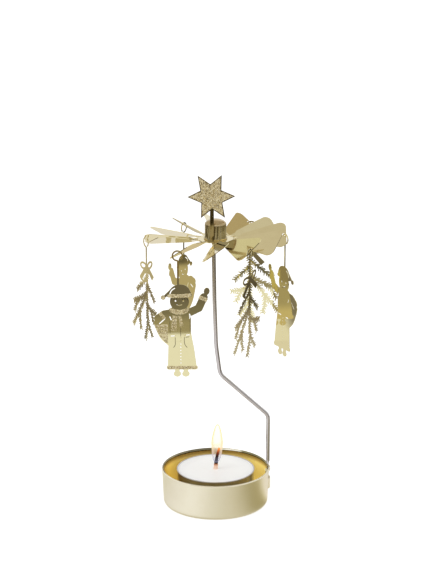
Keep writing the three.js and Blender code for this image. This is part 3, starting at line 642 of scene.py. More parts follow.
def raised_strip(middle, low, high, material):
    """A strip of the wall that bows in or out round the wire's foot."""
    half = foot_width / 2 + strip_gap
    end = half + strip_ramp + strip_root
    wall = math.sqrt(wall_radius((low + high) / 2) ** 2 - end ** 2) - bowl_wall / 2
    line = through([(wall, -end), (middle, -half), (middle, half), (wall, end)], closed=False)
    outline = [(x - bowl_wall / 2, y) for x, y in line] + [(x + bowl_wall / 2, y) for x, y in line[::-1]]
    solid = prism(outline, low, high)
    with edited(solid.data) as body:
        sharp = [e for e in body.edges if len(e.link_faces) == 2 and e.calc_face_angle() > 1]
        bmesh.ops.bevel(
            body, geom=sharp, offset=strip_bevel, segments=2, profile=0.5, affect="EDGES", clamp_overlap=True,
        )
    solid.data.materials.append(material)
    return solid.data


strip_reach = foot_thickness / 2 + strip_gap + bowl_wall / 2
inner_strip_top = bead_low - slit
strips = [
    raised_strip(foot_reach + strip_reach, bead_low, bowl_height, bowl_outside),
    raised_strip(
        foot_reach - strip_reach, inner_strip_top - inner_strip_height, inner_strip_top, sheet_brass,
    ),
    raised_strip(
        foot_reach + strip_reach, outer_strip_low, outer_strip_low + outer_strip_height, bowl_outside,
    ),
]


def joined(name, meshes, place=Matrix.Scale(mm, 4), material=None):
    """Several meshes as one piece."""
    body = bmesh.new()
    materials = []
    for mesh in meshes:
        start = len(body.faces)
        body.from_mesh(mesh)
        body.faces.ensure_lookup_table()
        for face in body.faces[start:]:
            entry = material or mesh.materials[min(face.material_index, len(mesh.materials) - 1)]
            if entry not in materials:
                materials.append(entry)
            face.material_index = materials.index(entry)
    whole = bpy.data.meshes.new(name)
    body.to_mesh(whole)
    body.free()
    for entry in materials:
        whole.materials.append(entry)
    return placed(name, whole, place)


bowl = joined("bowl_pressing", [bowl_mesh, *strips])
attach(bowl, "base")
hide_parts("bowl")
print("bowl:", len(bowl.data.polygons), "faces in", len(bowl.data.materials), "finishes")

# %% [markdown]
# ## The bent wire
# One length of drawn steel wire rises from the clip, leans in over the flame and goes up through
# the rotor's hub, where it is ground to a point. Its foot is squeezed flat. It is made as one
# skin through rings along its path: each ring has its own half sizes, and a power that takes it
# from a circle to the squarer section of the squeezed foot.

# %% Wire path
wire_width, squeeze_low, squeeze_high = 1.9, 19.6, 21.6
point_height, point_length, blunt_tip = 139.6, 2.6, 0.02
bends = [
    ((foot_reach, squeeze_high), 0), ((foot_reach, 45.0), 5), ((2.18, 66.15), 7),
    ((0.3, 80.5), 60), ((-0.47, 103.0), 120), ((-0.85, 127.0), 30),
    ((0.0, point_height - point_length), 0),
]


def wire_line(corners, bend_steps=14, run_step=3.0):
    """Points along straight runs that are joined by bends."""
    line = [Vector(corners[0][0])]
    for (before, _), (here, radius), (after, _) in zip(corners, corners[1:], corners[2:]):
        before, here, after = Vector(before), Vector(here), Vector(after)
        arriving, leaving = (here - before).normalized(), (after - here).normalized()
        reach = radius * math.tan(arriving.angle(leaving) / 2)
        start, end = here - arriving * reach, here + leaving * reach
        runs = max(1, round((start - line[-1]).length / run_step))
        line += [line[-1].lerp(start, step / runs) for step in range(1, runs + 1)]
        for step in range(1, bend_steps + 1):
            t = step / bend_steps
            line.append(start.lerp(here, t).lerp(here.lerp(end, t), t))
    last = Vector(corners[-1][0])
    runs = max(1, round((last - line[-1]).length / run_step))
    start = line[-1]
    return line + [start.lerp(last, step / runs) for step in range(1, runs + 1)]


wire_points = wire_line(bends)
print("wire path:", len(wire_points), "points,", round(sum(
    (b - a).length for a, b in zip(wire_points, wire_points[1:])
)), "mm long")

# %% Drawn steel, with fine lines along it, and painted reflections round it: light bands and dark edges
wire_steel = metal("wire_steel", (0.8, 0.79, 0.8), (0.6, 0.59, 0.6), 0.16, 0.3, 0.05, 0.1)
tree = wire_steel.node_tree
section = add_node(tree, "ShaderNodeAttribute", attribute_name="around").outputs["Vector"]
lines = add_node(tree, "ShaderNodeTexNoise", {"Scale": 3.2, "Detail": 3.0})
connect(tree, [(section, lines.inputs["Vector"])])
# painted reflections: light and dark bands round the wire
toned(wire_steel, compass(tree, section), [
    (0.0, (0.2, 0.19, 0.2)), (0.06, (0.55, 0.53, 0.54)), (0.16, (0.88, 0.85, 0.86)),
    (0.27, (0.85, 0.81, 0.8)), (0.33, (0.36, 0.34, 0.32)), (0.37, (0.34, 0.32, 0.3)),
    (0.42, (0.85, 0.84, 0.82)), (0.5, (0.55, 0.53, 0.52)), (0.66, (0.5, 0.48, 0.48)),
    (0.85, (0.6, 0.58, 0.58)), (0.97, (0.25, 0.24, 0.24)),
])
toned(wire_steel, lines.outputs["Fac"], [(0.3, (0.82, 0.82, 0.82)), (0.65, (1, 1, 1))])
print("wire finish:", len(tree.nodes), "nodes")

# %% Wire skin
def skin(stations, sides):
    """Points and faces of a closed skin through rings along a line in the XZ plane. A station is
    its place, its half size in the plane and across it, and its squareness, which is 2 in a circle."""
    points = []
    for at, ((x, z), half_in, half_out, power) in enumerate(stations):
        before, after = stations[max(at - 1, 0)][0], stations[min(at + 1, len(stations) - 1)][0]
        heading = (Vector(after) - Vector(before)).normalized()
        for across, beside in round_steps(sides):
            across = math.copysign(abs(across) ** (2 / power), across) * half_in
            beside = math.copysign(abs(beside) ** (2 / power), beside) * half_out
            points.append((x + heading.y * across, beside, z - heading.x * across))
    return points, ring_faces(len(stations), sides)


wire_sides, squeeze_steps, foot_power, round_power = 40, 8, 5, 2
round_half, flat_half, wide_half = wire_width / 2, foot_thickness / 2, foot_width / 2
stations = []
for step in range(1, squeeze_steps + 1):  # the foot's round end
    angle = math.radians(90 * step / squeeze_steps)
    height = outer_strip_low + wide_half * (1 - math.cos(angle))
    stations.append(((foot_reach, height), flat_half, wide_half * math.sin(angle), foot_power))
stations.append(((foot_reach, squeeze_low), flat_half, wide_half, foot_power))
for step in range(1, squeeze_steps + 1):  # from the flat foot to the round wire
    t = step / squeeze_steps
    ease = t * t * (3 - 2 * t)
    stations.append((
        (foot_reach, squeeze_low + (squeeze_high - squeeze_low) * t),
        flat_half + (round_half - flat_half) * ease, wide_half + (round_half - wide_half) * ease,
        foot_power + (round_power - foot_power) * ease,
    ))
stations += [(tuple(point), round_half, round_half, round_power) for point in wire_points[1:]]
for share in (0.35, 0.65, 0.9, 0.985):  # the ground point
    half = round_half * (1 - share) + blunt_tip
    stations.append(((0, point_height - point_length * (1 - share)), half, half, round_power))
points, faces = skin(stations, wire_sides)
wire = new_piece("bent_wire", points, faces, wire_steel)
around = wire.data.attributes.new("around", "FLOAT_VECTOR", "POINT")
for entry, (x, y) in zip(around.data, round_steps(wire_sides) * len(stations)):
    entry.vector = (x, y, 0)
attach(wire, "base")
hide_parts("stand_wire")
print("wire:", len(wire.data.polygons), "faces")

# %% [markdown]
# ## The tealight
# A thin drawn aluminium cup holds white wax. Its lip is rolled, and the wax climbs it a little
# at the edge, as wax does where it cooled against metal. The cup's wall is not mirror smooth, so
# its waves break up the gold that it mirrors from the bowl. Both are turned profiles.

# %% Wax and wick finishes
wax_edge = 18.4  # the radius where the wax's tones end
wax_material, tree, shader = simple("white_wax", (0.9, 0.89, 0.86), 0.4)
set_inputs(shader, {"Subsurface Weight": 0.1, "Subsurface Radius": (2 * mm, 2 * mm, 2 * mm)})
place = millimetres(tree)
from_axis = add_node(tree, "ShaderNodeVectorMath", {1: (1, 1, 0)}, operation="MULTIPLY")
distance = add_node(tree, "ShaderNodeVectorMath", operation="LENGTH")
reach = add_node(tree, "ShaderNodeMath", {1: wax_edge}, operation="DIVIDE")
cloud = add_node(tree, "ShaderNodeTexNoise", {"Scale": 0.35, "Detail": 3})
bump = add_node(tree, "ShaderNodeBump", {"Distance": 0.08 * mm, "Strength": 0.35})
connect(tree, [
    (place, from_axis.inputs[0]), (from_axis.outputs[0], distance.inputs[0]),
    (distance.outputs["Value"], reach.inputs[0]), (place, cloud.inputs["Vector"]),
    (cloud.outputs["Fac"], bump.inputs["Height"]), (bump.outputs["Normal"], shader.inputs["Normal"]),
])
wax_tone = ramp(tree, [
    (0.0, (0.95, 0.78, 0.64)), (0.06, (0.95, 0.87, 0.8)), (0.11, (0.97, 0.965, 0.95)),
    (0.75, (0.96, 0.96, 0.95)), (1.0, (0.9, 0.9, 0.9)),
], reach.outputs[0])
connect(tree, [(wax_tone, shader.inputs["Base Color"])])

wick_material, tree, shader = simple("charred_wick", (0.02, 0.018, 0.016), 0.95)
set_inputs(shader, {"Specular IOR Level": 0.05, "Emission Strength": 1.0})
height = share_of_height(tree, 16.0, 28.0)
braid = add_node(tree, "ShaderNodeTexWave", {"Scale": 0.8, "Distortion": 2.0}, bands_direction="DIAGONAL")
bump = add_node(tree, "ShaderNodeBump", {"Distance": 0.1 * mm, "Strength": 0.8})
char = ramp(tree, [
    (0.0, (0.88, 0.76, 0.68)), (0.2, (0.84, 0.6, 0.46)), (0.29, (0.5, 0.2, 0.1)),
    (0.33, (0.01, 0.005, 0.004)), (0.66, (0.012, 0.004, 0.002)), (0.8, (0.1, 0.02, 0.004)),
    (1.0, (0.7, 0.25, 0.05)),
], height)
# painted flame light glowing on the waxed root, and the glow of the charred tip
glow = ramp(tree, [
    (0.0, (0.1, 0.06, 0.04)), (0.22, (0.14, 0.06, 0.03)), (0.31, (0.01, 0, 0)), (0.62, (0, 0, 0)),
    (0.74, (0.08, 0.01, 0.002)), (0.88, (0.32, 0.05, 0.01)), (0.98, (0.7, 0.22, 0.06)),
], height)
connect(tree, [
    (millimetres(tree), braid.inputs["Vector"]), (braid.outputs["Fac"], bump.inputs["Height"]),
    (bump.outputs["Normal"], shader.inputs["Normal"]), (char, shader.inputs["Base Color"]),
    (glow, shader.inputs["Emission Color"]),
])
print("wax and wick finishes made")

# %% Cup and wax
cup_low = bowl_wall + strip_gap
cup_height, cup_lip_radius, cup_lip, cup_wall = 16.4, 19.25, 0.35, 0.25
cup_top, cup_radius, cup_round = cup_low + cup_height, cup_lip_radius - cup_lip, 0.9
cup_foot = (cup_radius - cup_round, cup_low + cup_round)
lip_middle = (cup_lip_radius - cup_lip / 2, cup_top - cup_lip / 2)
cup_profile = [
    (0, cup_low), *arc(cup_foot, cup_round, 270, 360, 8),
    (cup_radius, cup_top - cup_lip), *arc(lip_middle, cup_lip / 2, -90, 90, 8),
    (cup_radius - cup_wall, cup_top), *arc(cup_foot, cup_round - cup_wall, 360, 270, 8),
    (0, cup_low + cup_wall),
]
cup = new_piece("tealight_shell", *turned(cup_profile, 192), cup_aluminium)
wax_low = cup_low + cup_wall + strip_gap
wax_top, wax_dish = cup_top - 0.5, 0.5
wax_radius = cup_radius - cup_wall - 0.02  # a hair inside the cup
wick_radius, wick_stand, wick_lean = 0.7, 11.6, 1.9
wax_bore, wax_steps = wick_radius + 0.05, 30
edge_climb, edge_start, pool_rise, pool_reach = 0.35, 0.955, 0.75, 1.5
surface = []
for step in range(wax_steps + 1):
    radius = wax_radius + (wax_bore - wax_radius) * step / wax_steps
    climb = edge_climb * max(0.0, (radius / wax_radius - edge_start) / (1 - edge_start)) ** 2
    pool = pool_rise * math.exp(-((radius - wick_radius) / pool_reach) ** 2)
    surface.append((radius, wax_top - wax_dish * (1 - (radius / wax_radius) ** 4) + climb + pool))
wax_profile = [
    (wax_bore, wax_low), (wax_radius - cup_round, wax_low),
    *arc((wax_radius - cup_round, wax_low + cup_round), cup_round, 270, 360, 6), *surface,
]
wax = new_piece("wax_filling", *turned(wax_profile, 128), wax_material)
for piece, node, slot in ((cup, "tealight_cup", "aluminium"), (wax, "tealight_wax", "white_wax")):
    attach(piece, "tealight")
    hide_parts(node)
print("cup", len(cup.data.polygons), "and wax", len(wax.data.polygons), "faces")

# %% [markdown]
# ## Wick and flame
# The wick is a thin braid that chars, curls over and glows at its tip. The flame is light, not a
# solid, so no part of the CAD model holds it. Three closed skins, one in the other, give it the
# soft look of the real one: a veil that thins to nothing at its edge, a hot core, and a halo
# whose inner face alone glows, so that it lies behind the wick. All shine by themselves and
# leave the wick to be seen in the lower third.

# %% Wick
wick_surface = wax_top - wax_dish
wick_knots = [
    (0, wick_surface - 2.2), (0, wick_surface), (wick_lean * 0.3, wick_surface + wick_stand * 0.55),
    (wick_lean, wick_surface + wick_stand),
]


def tube(line, radii, sides):
    """Points and faces of a round skin along a line in the XZ plane."""
    return skin([(place, radius, radius, round_power) for place, radius in zip(line, radii)], sides)


wick_line = through(wick_knots, closed=False, steps=14)
wick_radii = []
for at, (_, z) in enumerate(wick_line):
    share = max(0.0, (z - wick_surface) / wick_stand)  # the waxed root is thicker, the tip slim
    inside_wax = 0.7 if z < wick_surface - 0.3 else 1.0
    wick_radii.append(inside_wax * (1.2 - 0.62 * share ** 0.8) * (1 + 0.04 * math.sin(at * 1.9)))
wick_radii[-1] *= 0.5
wick = new_piece("burnt_wick_braid", *tube(wick_line, wick_radii, 20), wick_material)
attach(wick, "tealight")
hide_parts("tealight_wick")
print("wick:", len(wick.data.polygons), "faces")

# %% Flame
flame_knots = [  # height, half width, drift to the right
    (19.8, 0.12, 0.15), (20.4, 1.0, 0.2), (21.4, 1.6, 0.3), (23.8, 2.3, 0.55), (28.0, 2.78, 0.73),
    (30.6, 2.87, 0.76), (33.1, 2.66, 0.8), (36.4, 1.96, 0.9), (38.9, 1.25, 0.95), (40.0, 0.55, 1.0),
    (40.25, 0.1, 1.0),
]
flame_low, flame_high = flame_knots[0][0], flame_knots[-1][0]


def flame_skin(name, low, high, share, colors, heights, edges, strength=1.0, far_side=False):
    """A closed skin of the flame: its colour and strength by height, its veil by how it is turned.
    With far_side only its inner face glows, so it lies behind the wick from every side."""
    line, radii, steps, smoothings = [], [], 60, 3
    for step in range(1, steps):
        z = low + (high - low) * step / steps
        at = max(k for k in range(len(flame_knots) - 1) if flame_knots[k][0] <= z)
        (z0, half0, drift0), (z1, half1, drift1) = flame_knots[at:at + 2]
        t = (z - z0) / (z1 - z0)
        close = 1 - abs(2 * step / steps - 1) ** 4  # rounds the ends of a shorter skin
        line.append((drift0 + (drift1 - drift0) * t, z))
        radii.append((half0 + (half1 - half0) * t) * share * (close if share < 1 else 1))
    for _ in range(smoothings):
        middles = [(a + 2 * b + c) / 4 for a, b, c in zip(radii, radii[1:], radii[2:])]
        radii = [radii[0], *middles, radii[-1]]
    material, tree, shader = simple(name, (0, 0, 0), 1.0)
    set_inputs(shader, {"Specular IOR Level": 0.0, "Emission Strength": strength})
    height = share_of_height(tree, flame_low, flame_high)
    turned_away = add_node(tree, "ShaderNodeLayerWeight", {"Blend": 0.5})
    by_height = ramp(tree, [(at, (value,) * 3) for at, value in heights], height)
    by_edge = ramp(tree, [(at, (value,) * 3) for at, value in edges], turned_away.outputs["Facing"])
    veil = product(tree, by_height, by_edge)
    if far_side:
        inner_face = add_node(tree, "ShaderNodeNewGeometry").outputs["Backfacing"]
        veil = product(tree, veil, inner_face)
    glow = ramp(tree, colors, height)
    connect(tree, [(glow, shader.inputs["Emission Color"]), (veil, shader.inputs["Alpha"])])
    piece = new_piece(name, *tube(line, radii, 48), material)
    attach(piece, "tealight")
    piece.visible_shadow = False


flame_skin(
    "flame_veil", flame_low, flame_high, 1.0,
    [(0.0, (0.45, 0.46, 0.62)), (0.14, (0.5, 0.5, 0.66)), (0.24, (0.75, 0.6, 0.58)),
     (0.34, (0.95, 0.72, 0.48)), (0.48, (1.0, 0.8, 0.38)), (0.7, (1.0, 0.84, 0.36)),
     (1.0, (0.95, 0.76, 0.28))],
    [(0.0, 0.6), (0.12, 0.85), (0.3, 0.8), (0.5, 1.0), (1.0, 1.0)],
    [(0.0, 0.0), (0.14, 0.02), (0.32, 0.36), (0.5, 0.62), (0.8, 0.6), (1.0, 0.45)],
)
flame_skin(
    "flame_core", 27.5, 39.4, 0.86,
    [(0.38, (1.0, 0.75, 0.35)), (0.46, (1.0, 0.92, 0.55)), (0.54, (1.0, 1.0, 0.88)), (1.0, (1.0, 1.0, 0.92))],
    [(0.4, 0.0), (0.5, 0.35), (0.6, 0.95), (0.8, 0.95), (0.95, 0.2)],
    [(0.0, 1.0), (0.15, 0.95), (0.35, 0.65), (0.6, 0.2), (0.9, 0.0)], 1.1,
)
flame_skin(
    "flame_halo", 21.5, 34.0, 0.9,
    [(0.12, (0.8, 0.66, 0.7)), (0.26, (0.95, 0.76, 0.62)), (0.36, (1.0, 0.85, 0.6)),
     (0.5, (1.0, 0.97, 0.75))],
    [(0.12, 0.0), (0.24, 0.3), (0.34, 0.7), (0.46, 0.92), (0.58, 0.9), (0.68, 0.0)],
    [(0.0, 1.0), (0.4, 0.85), (0.7, 0.5), (1.0, 0.0)], far_side=True,
)
print("flame:", flame_high - flame_low, "mm tall")

# %% [markdown]
# ## The rotor
# The real rotor is one disc of sheet, slit into twelve blades that are twisted at their necks.
# No two were bent quite alike. A tree of Geometry Nodes follows that rule: it puts a flat blade
# on twelve points, then twists each by its own pitch, lifts it, and turns it to its place.
# Every second blade has a hook hole, so the tree takes a blade with a hole and one without.

# %% Flat blades
rotor_level, rotor_radius, hub_radius, blade_count = 134.0, 33.7, 8.6, 12
neck_width, neck_end, shoulder_end, blade_slit, blade_corner = 3.4, 11.6, 13.0, 1.2, 3.0
hook_hole, hook_edge, rib_reach = 1.8, 1.1, 1.2  # the ribs' middles lie rib_reach outside the hub
blade_pitch, blade_lift = 36.0, 2.0
pitch_shares = [1, 1, 1, 1, 0.95, 0.75, 0.83, 0.67, 0.95, 1, 1.05, 1.05]
lift_shares = [1.1, 0.75, 0.75, 0.5, 0.25, 0, 0, 1.75, 0.4, 0.6, 0.9, 1]
hook_radius = rotor_radius - hook_edge
half_step = 180 / blade_count


def blade_edge(radius):
    """Half the width of a blade at a radius, beyond its neck."""
    return radius * math.tan(math.radians(half_step)) - blade_slit / 2


def blade_stations():
    """Radius and half width along one blade."""
    inner = [(hub_radius - blade_slit, neck_width / 2)]
    inner += [(hub_radius + (neck_end - hub_radius) * t / 12, neck_width / 2) for t in range(13)]
    wide = blade_edge(shoulder_end)
    shoulder = [(shoulder_end - 0.5, wide - 0.35), (shoulder_end, wide)]
    corner_reach = rotor_radius - blade_corner
    corner_side = blade_edge(corner_reach) - blade_corner / math.cos(math.radians(half_step))
    return inner + shoulder + arc((corner_reach, corner_side), blade_corner, 90 + half_step, 0, 12)


def blade_solid():
    """A flat blade with a few rows across, so that its neck can twist."""
    rows = blade_stations()
    across = [-1, -0.5, 0, 0.5, 1]
    points = []
    for radius, half in rows:
        points += [(radius, half * share, -sheet / 2) for share in across]
        points += [(radius, half * share, sheet / 2) for share in reversed(across)]
    mesh = plain_mesh("blade", points, ring_faces(len(rows), 2 * len(across)))
    settle(mesh)
    return bpy.data.objects.new("blade", mesh)


def rib(length, width, rise):
    """The low stamped rib at a blade's root, as an oval dome on the sheet."""
    rings = [(1.0, -0.05), (0.92, 0.55), (0.7, 0.9), (0.4, 1.0)]  # shares of its size and rise
    points, sides = [], 24
    for share, level in rings:
        points += [(
            hub_radius + rib_reach + length / 2 * share * x, width / 2 * share * y, sheet / 2 + rise * level,
        ) for x, y in round_steps(sides)]
    return plain_mesh("rib", points, ring_faces(len(rings), sides))


plain_blade = combined(blade_solid())
hole = prism(ellipse((hook_radius, 0), hook_hole / 2, hook_hole / 2, 0, 28), -1, 1)
holed_blade = combined(blade_solid(), cuts=[hole])
rib_mesh = rib(3.2, 1.0, 0.22)
blade_forms = []
for label, mesh in (("plain", plain_blade), ("holed", holed_blade)):
    with edited(mesh) as body:
        body.from_mesh(rib_mesh)
    blade_forms.append(bpy.data.objects.new(label + "_blade", mesh))
print("flat blades:", [len(form.data.polygons) for form in blade_forms], "faces")

# %% Tree that sets, twists and turns the blades
def new_tree(name, inputs):
    """A geometry tree with named inputs, and its inner input and output nodes."""
    tree = bpy.data.node_groups.new(name, "GeometryNodeTree")
    tree.interface.new_socket("Geometry", in_out="INPUT", socket_type="NodeSocketGeometry")
    sockets = {}
    for label, kind, value in inputs:
        socket = tree.interface.new_socket(label, in_out="INPUT", socket_type=kind)
        if value is not None:
            socket.default_value = value
        sockets[label] = socket.identifier
    tree.interface.new_socket("Geometry", in_out="OUTPUT", socket_type="NodeSocketGeometry")
    inlet, outlet = tree.nodes.new("NodeGroupInput").outputs, tree.nodes.new("NodeGroupOutput").inputs
    return tree, sockets, inlet, outlet


def attribute(tree, name):
    """The value of a named float attribute."""
    node = add_node(tree, "GeometryNodeInputNamedAttribute", {"Name": name}, data_type="FLOAT")
    return node.outputs["Attribute"]


blade_tree, blade_sockets, inlet, outlet = new_tree("blade_ring", [
    ("Plain blade", "NodeSocketObject", None), ("Holed blade", "NodeSocketObject", None),
    ("Neck start", "NodeSocketFloat", hub_radius), ("Neck end", "NodeSocketFloat", neck_end),
    ("Tip radius", "NodeSocketFloat", rotor_radius), ("Lift", "NodeSocketFloat", blade_lift),
    ("Pitch", "NodeSocketFloat", math.radians(blade_pitch)), ("Finish", "NodeSocketMaterial", None),
])
is_plain = add_node(
    blade_tree, "FunctionNodeCompare", {"B": 0.5}, data_type="FLOAT", operation="LESS_THAN",
).outputs[0]
is_holed = add_node(blade_tree, "FunctionNodeBooleanMath", operation="NOT")
both = add_node(blade_tree, "GeometryNodeJoinGeometry")
real = add_node(blade_tree, "GeometryNodeRealizeInstances")
position = add_node(blade_tree, "GeometryNodeInputPosition")
split = add_node(blade_tree, "ShaderNodeSeparateXYZ")
for label, wanted in (("Plain blade", is_plain), ("Holed blade", is_holed.outputs[0])):
    form = add_node(blade_tree, "GeometryNodeObjectInfo")
    blade_set = add_node(blade_tree, "GeometryNodeInstanceOnPoints")
    connect(blade_tree, [
        (inlet[label], form.inputs["Object"]), (inlet["Geometry"], blade_set.inputs["Points"]),
        (wanted, blade_set.inputs["Selection"]), (form.outputs["Geometry"], blade_set.inputs["Instance"]),
        (blade_set.outputs[0], both.inputs[0]),
    ])
amounts = []
for label, end, easing in (("Pitch", "Neck end", "SMOOTHSTEP"), ("Lift", "Tip radius", "LINEAR")):
    along = add_node(blade_tree, "ShaderNodeMapRange", interpolation_type=easing)
    connect(blade_tree, [
        (split.outputs["X"], along.inputs["Value"]), (inlet["Neck start"], along.inputs["From Min"]),
        (inlet[end], along.inputs["From Max"]),
    ])
    own = product(blade_tree, attribute(blade_tree, label.lower()), inlet[label])
    amounts.append(product(blade_tree, own, along.outputs["Result"]))
twisted = add_node(blade_tree, "ShaderNodeVectorRotate", rotation_type="X_AXIS")
raised = add_node(blade_tree, "ShaderNodeCombineXYZ")
lifted = add_node(blade_tree, "ShaderNodeVectorMath", operation="ADD")
turn = add_node(blade_tree, "ShaderNodeVectorRotate", rotation_type="Z_AXIS")
moved = add_node(blade_tree, "GeometryNodeSetPosition")
finish = add_node(blade_tree, "GeometryNodeSetMaterial")
connect(blade_tree, [
    (attribute(blade_tree, "holed"), is_plain.node.inputs["A"]), (is_plain, is_holed.inputs[0]),
    (both.outputs[0], real.inputs[0]), (position.outputs[0], split.inputs[0]),
    (position.outputs[0], twisted.inputs["Vector"]), (amounts[0], twisted.inputs["Angle"]),
    (twisted.outputs[0], lifted.inputs[0]), (amounts[1], raised.inputs["Z"]),
    (raised.outputs[0], lifted.inputs[1]), (lifted.outputs[0], turn.inputs["Vector"]),
    (attribute(blade_tree, "turn"), turn.inputs["Angle"]), (real.outputs[0], moved.inputs["Geometry"]),
    (turn.outputs[0], moved.inputs["Position"]), (moved.outputs[0], finish.inputs["Geometry"]),
    (inlet["Finish"], finish.inputs["Material"]), (finish.outputs[0], outlet["Geometry"]),
])
print("blade tree:", len(blade_tree.nodes), "nodes")

# %% Rotor from its tree and its hub disc
def grown(source, tree, sockets, values):
    """The mesh that a geometry tree makes from a source mesh."""
    carrier = linked("carrier", source)
    growth = carrier.modifiers.new("growth", "NODES")
    growth.node_group = tree
    for label, value in values.items():
        growth[sockets[label]] = value
    mesh = evaluated(carrier)
    bpy.data.objects.remove(carrier)
    return mesh


blade_points = plain_mesh("blade_points", [(0, 0, 0)] * blade_count)
for label, numbers in (
    ("pitch", pitch_shares), ("lift", lift_shares),
    ("turn", [math.tau * blade / blade_count for blade in range(blade_count)]),
    ("holed", [1 - blade % 2 for blade in range(blade_count)]),
):
    values = blade_points.attributes.new(label, "FLOAT", "POINT").data
    values.foreach_set("value", [float(number) for number in numbers])
ring_mesh = grown(blade_points, blade_tree, blade_sockets, {
    "Plain blade": blade_forms[0], "Holed blade": blade_forms[1], "Finish": blade_brass,
})
disc_inner = 4.3
disc_half = sheet / 2 + 0.015  # a hair over the blades' roots, so that no two faces share one plane
disc = plain_mesh("disc", *turned([
    (disc_inner, -disc_half), (hub_radius, -disc_half), (hub_radius + 0.1, 0), (hub_radius, disc_half),
    (disc_inner, disc_half),
], 144))
rotor = joined(
    "bladed_rotor", [ring_mesh, disc],
    Matrix.Scale(mm, 4) @ Matrix.Translation((0, 0, rotor_level)), blade_brass,
)
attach(rotor, "rotor")
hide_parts("rotor")
print("rotor:", len(rotor.data.polygons), "faces")

# %% [markdown]
# ## Hub cap and star
# The cap is a small drawn cup with a domed top. Its flange and rolled lip hold the rotor and the
# star's ring between them. The star stands on a flat stem in front of the cap. One face has
# glitter that stops short of the outline, which leaves the thin polished edge of the real one.

# %% Hub cap
sheet_top = rotor_level + sheet / 2
flange_low = sheet_top + sheet
cap_radius, cap_wall, cap_flange, collar_radius, lip_radius, lip_height = 5.15, 0.35, 0.5, 4.0, 4.75, 0.6
barrel_low, barrel_height, dome_height = flange_low + cap_wall, 6.4, 2.6
barrel_top = barrel_low + barrel_height
inner_radius, bore = cap_radius - cap_wall, collar_radius - cap_wall
lip_top = rotor_level - sheet / 2
lip_low = lip_top - lip_height


def dome(radius, height, start, end):
    """A quarter of an ellipse above the barrel."""
    return [(radius * x, barrel_top + height * z) for x, z in arc((0, 0), 1, start, end, 14)]


cap_profile = [
    *dome(inner_radius, dome_height - cap_wall, 90, 0), (inner_radius, barrel_low), (bore, barrel_low),
    (bore, lip_low + 0.15), (bore + 0.15, lip_low), (lip_radius - 0.2, lip_low),
    *arc((lip_radius - 0.2, lip_low + 0.3), 0.3, -60, 60, 6), (collar_radius, lip_top),
    (collar_radius, flange_low), (cap_radius + cap_flange - 0.1, flange_low),
    *arc((cap_radius + cap_flange - cap_wall / 2, flange_low + cap_wall / 2), cap_wall / 2, -80, 80, 6),
    (cap_radius + 0.18, barrel_low), *arc((cap_radius + 0.2, barrel_low + 0.2), 0.2, 260, 180, 5),
    *dome(cap_radius, dome_height, 0, 90),
]
cap_profile[0] = (0, cap_profile[0][1])
cap_profile[-1] = (0, cap_profile[-1][1])
cap = new_piece("domed_cap", *turned(cap_profile, 128), dome_brass)
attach(cap, "rotor")
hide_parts("hub_cap")
print("cap:", len(cap.data.polygons), "faces")

# %% Tree that strews glitter grains
grain_tree, grain_sockets, inlet, outlet = new_tree("glitter_strewn", [
    ("Grain size", "NodeSocketFloat", layer_grain), ("Grains per area", "NodeSocketFloat", 5.0),
    ("Seed", "NodeSocketInt", 7), ("Finish", "NodeSocketMaterial", None),
])
spots = add_node(grain_tree, "GeometryNodeDistributePointsOnFaces")
seed_grain = add_node(grain_tree, "GeometryNodeMeshUVSphere", {"Segments": 4, "Rings": 2, "Radius": 0.5})
full_turns = (6.283, 6.283, 6.283)
spin = add_node(
    grain_tree, "FunctionNodeRandomValue", {0: (0, 0, 0), 1: full_turns}, data_type="FLOAT_VECTOR",
)
size = add_node(grain_tree, "FunctionNodeRandomValue", {2: 0.6, 3: 1.2}, data_type="FLOAT")
strewn = add_node(grain_tree, "GeometryNodeInstanceOnPoints")
real = add_node(grain_tree, "GeometryNodeRealizeInstances")
finish = add_node(grain_tree, "GeometryNodeSetMaterial")
connect(grain_tree, [
    (inlet["Geometry"], spots.inputs["Mesh"]), (inlet["Grains per area"], spots.inputs["Density"]),
    (inlet["Seed"], spots.inputs["Seed"]), (spots.outputs["Points"], strewn.inputs["Points"]),
    (seed_grain.outputs["Mesh"], strewn.inputs["Instance"]), (spin.outputs[0], strewn.inputs["Rotation"]),
    (inlet["Seed"], spin.inputs["Seed"]), (inlet["Seed"], size.inputs["Seed"]),
    (product(grain_tree, size.outputs[1], inlet["Grain size"]), strewn.inputs["Scale"]),
    (strewn.outputs[0], real.inputs[0]), (real.outputs[0], finish.inputs["Geometry"]),
    (inlet["Finish"], finish.inputs["Material"]), (finish.outputs[0], outlet["Geometry"]),
])


def glittered(outlines, face_height, layer, grain_size, per_area, seed):
    """The glitter on a face: a thin raised layer inside each outline, and grains strewn on it."""
    meshes = []
    for number, outline in enumerate(outlines):
        solid = prism(outline, face_height, face_height + layer)
        solid.data.materials.append(glitter_layer)
        meshes.append(solid.data)
        points = [(x, y, face_height + layer) for x, y in outline]
        top = plain_mesh("top", points, [tuple(range(len(outline)))])
        meshes.append(grown(top, grain_tree, grain_sockets, {
            "Grain size": grain_size, "Grains per area": per_area, "Seed": seed + number,
            "Finish": glitter_grain,
        }))
    return meshes


print("grain tree:", len(grain_tree.nodes), "nodes")

# %% Star
star_radius, star_height, star_shift, stem_width = 11.8, 155.8, -0.3, 1.85
star_azimuth, star_lean = 254, 4.5  # where the star looks, and how far it is turned in its plane
star_inner_share, star_points, glitter_inset, star_layer = 0.505, 6, 0.55, 0.08


def star_outline(radius):
    """A star about its own middle."""
    points = []
    for corner in range(2 * star_points):
        angle = math.radians(star_lean + 180 / star_points * corner)
        reach = radius if corner % 2 == 0 else radius * star_inner_share
        points.append((star_shift + reach * math.cos(angle), star_height + reach * math.sin(angle)))
    return points


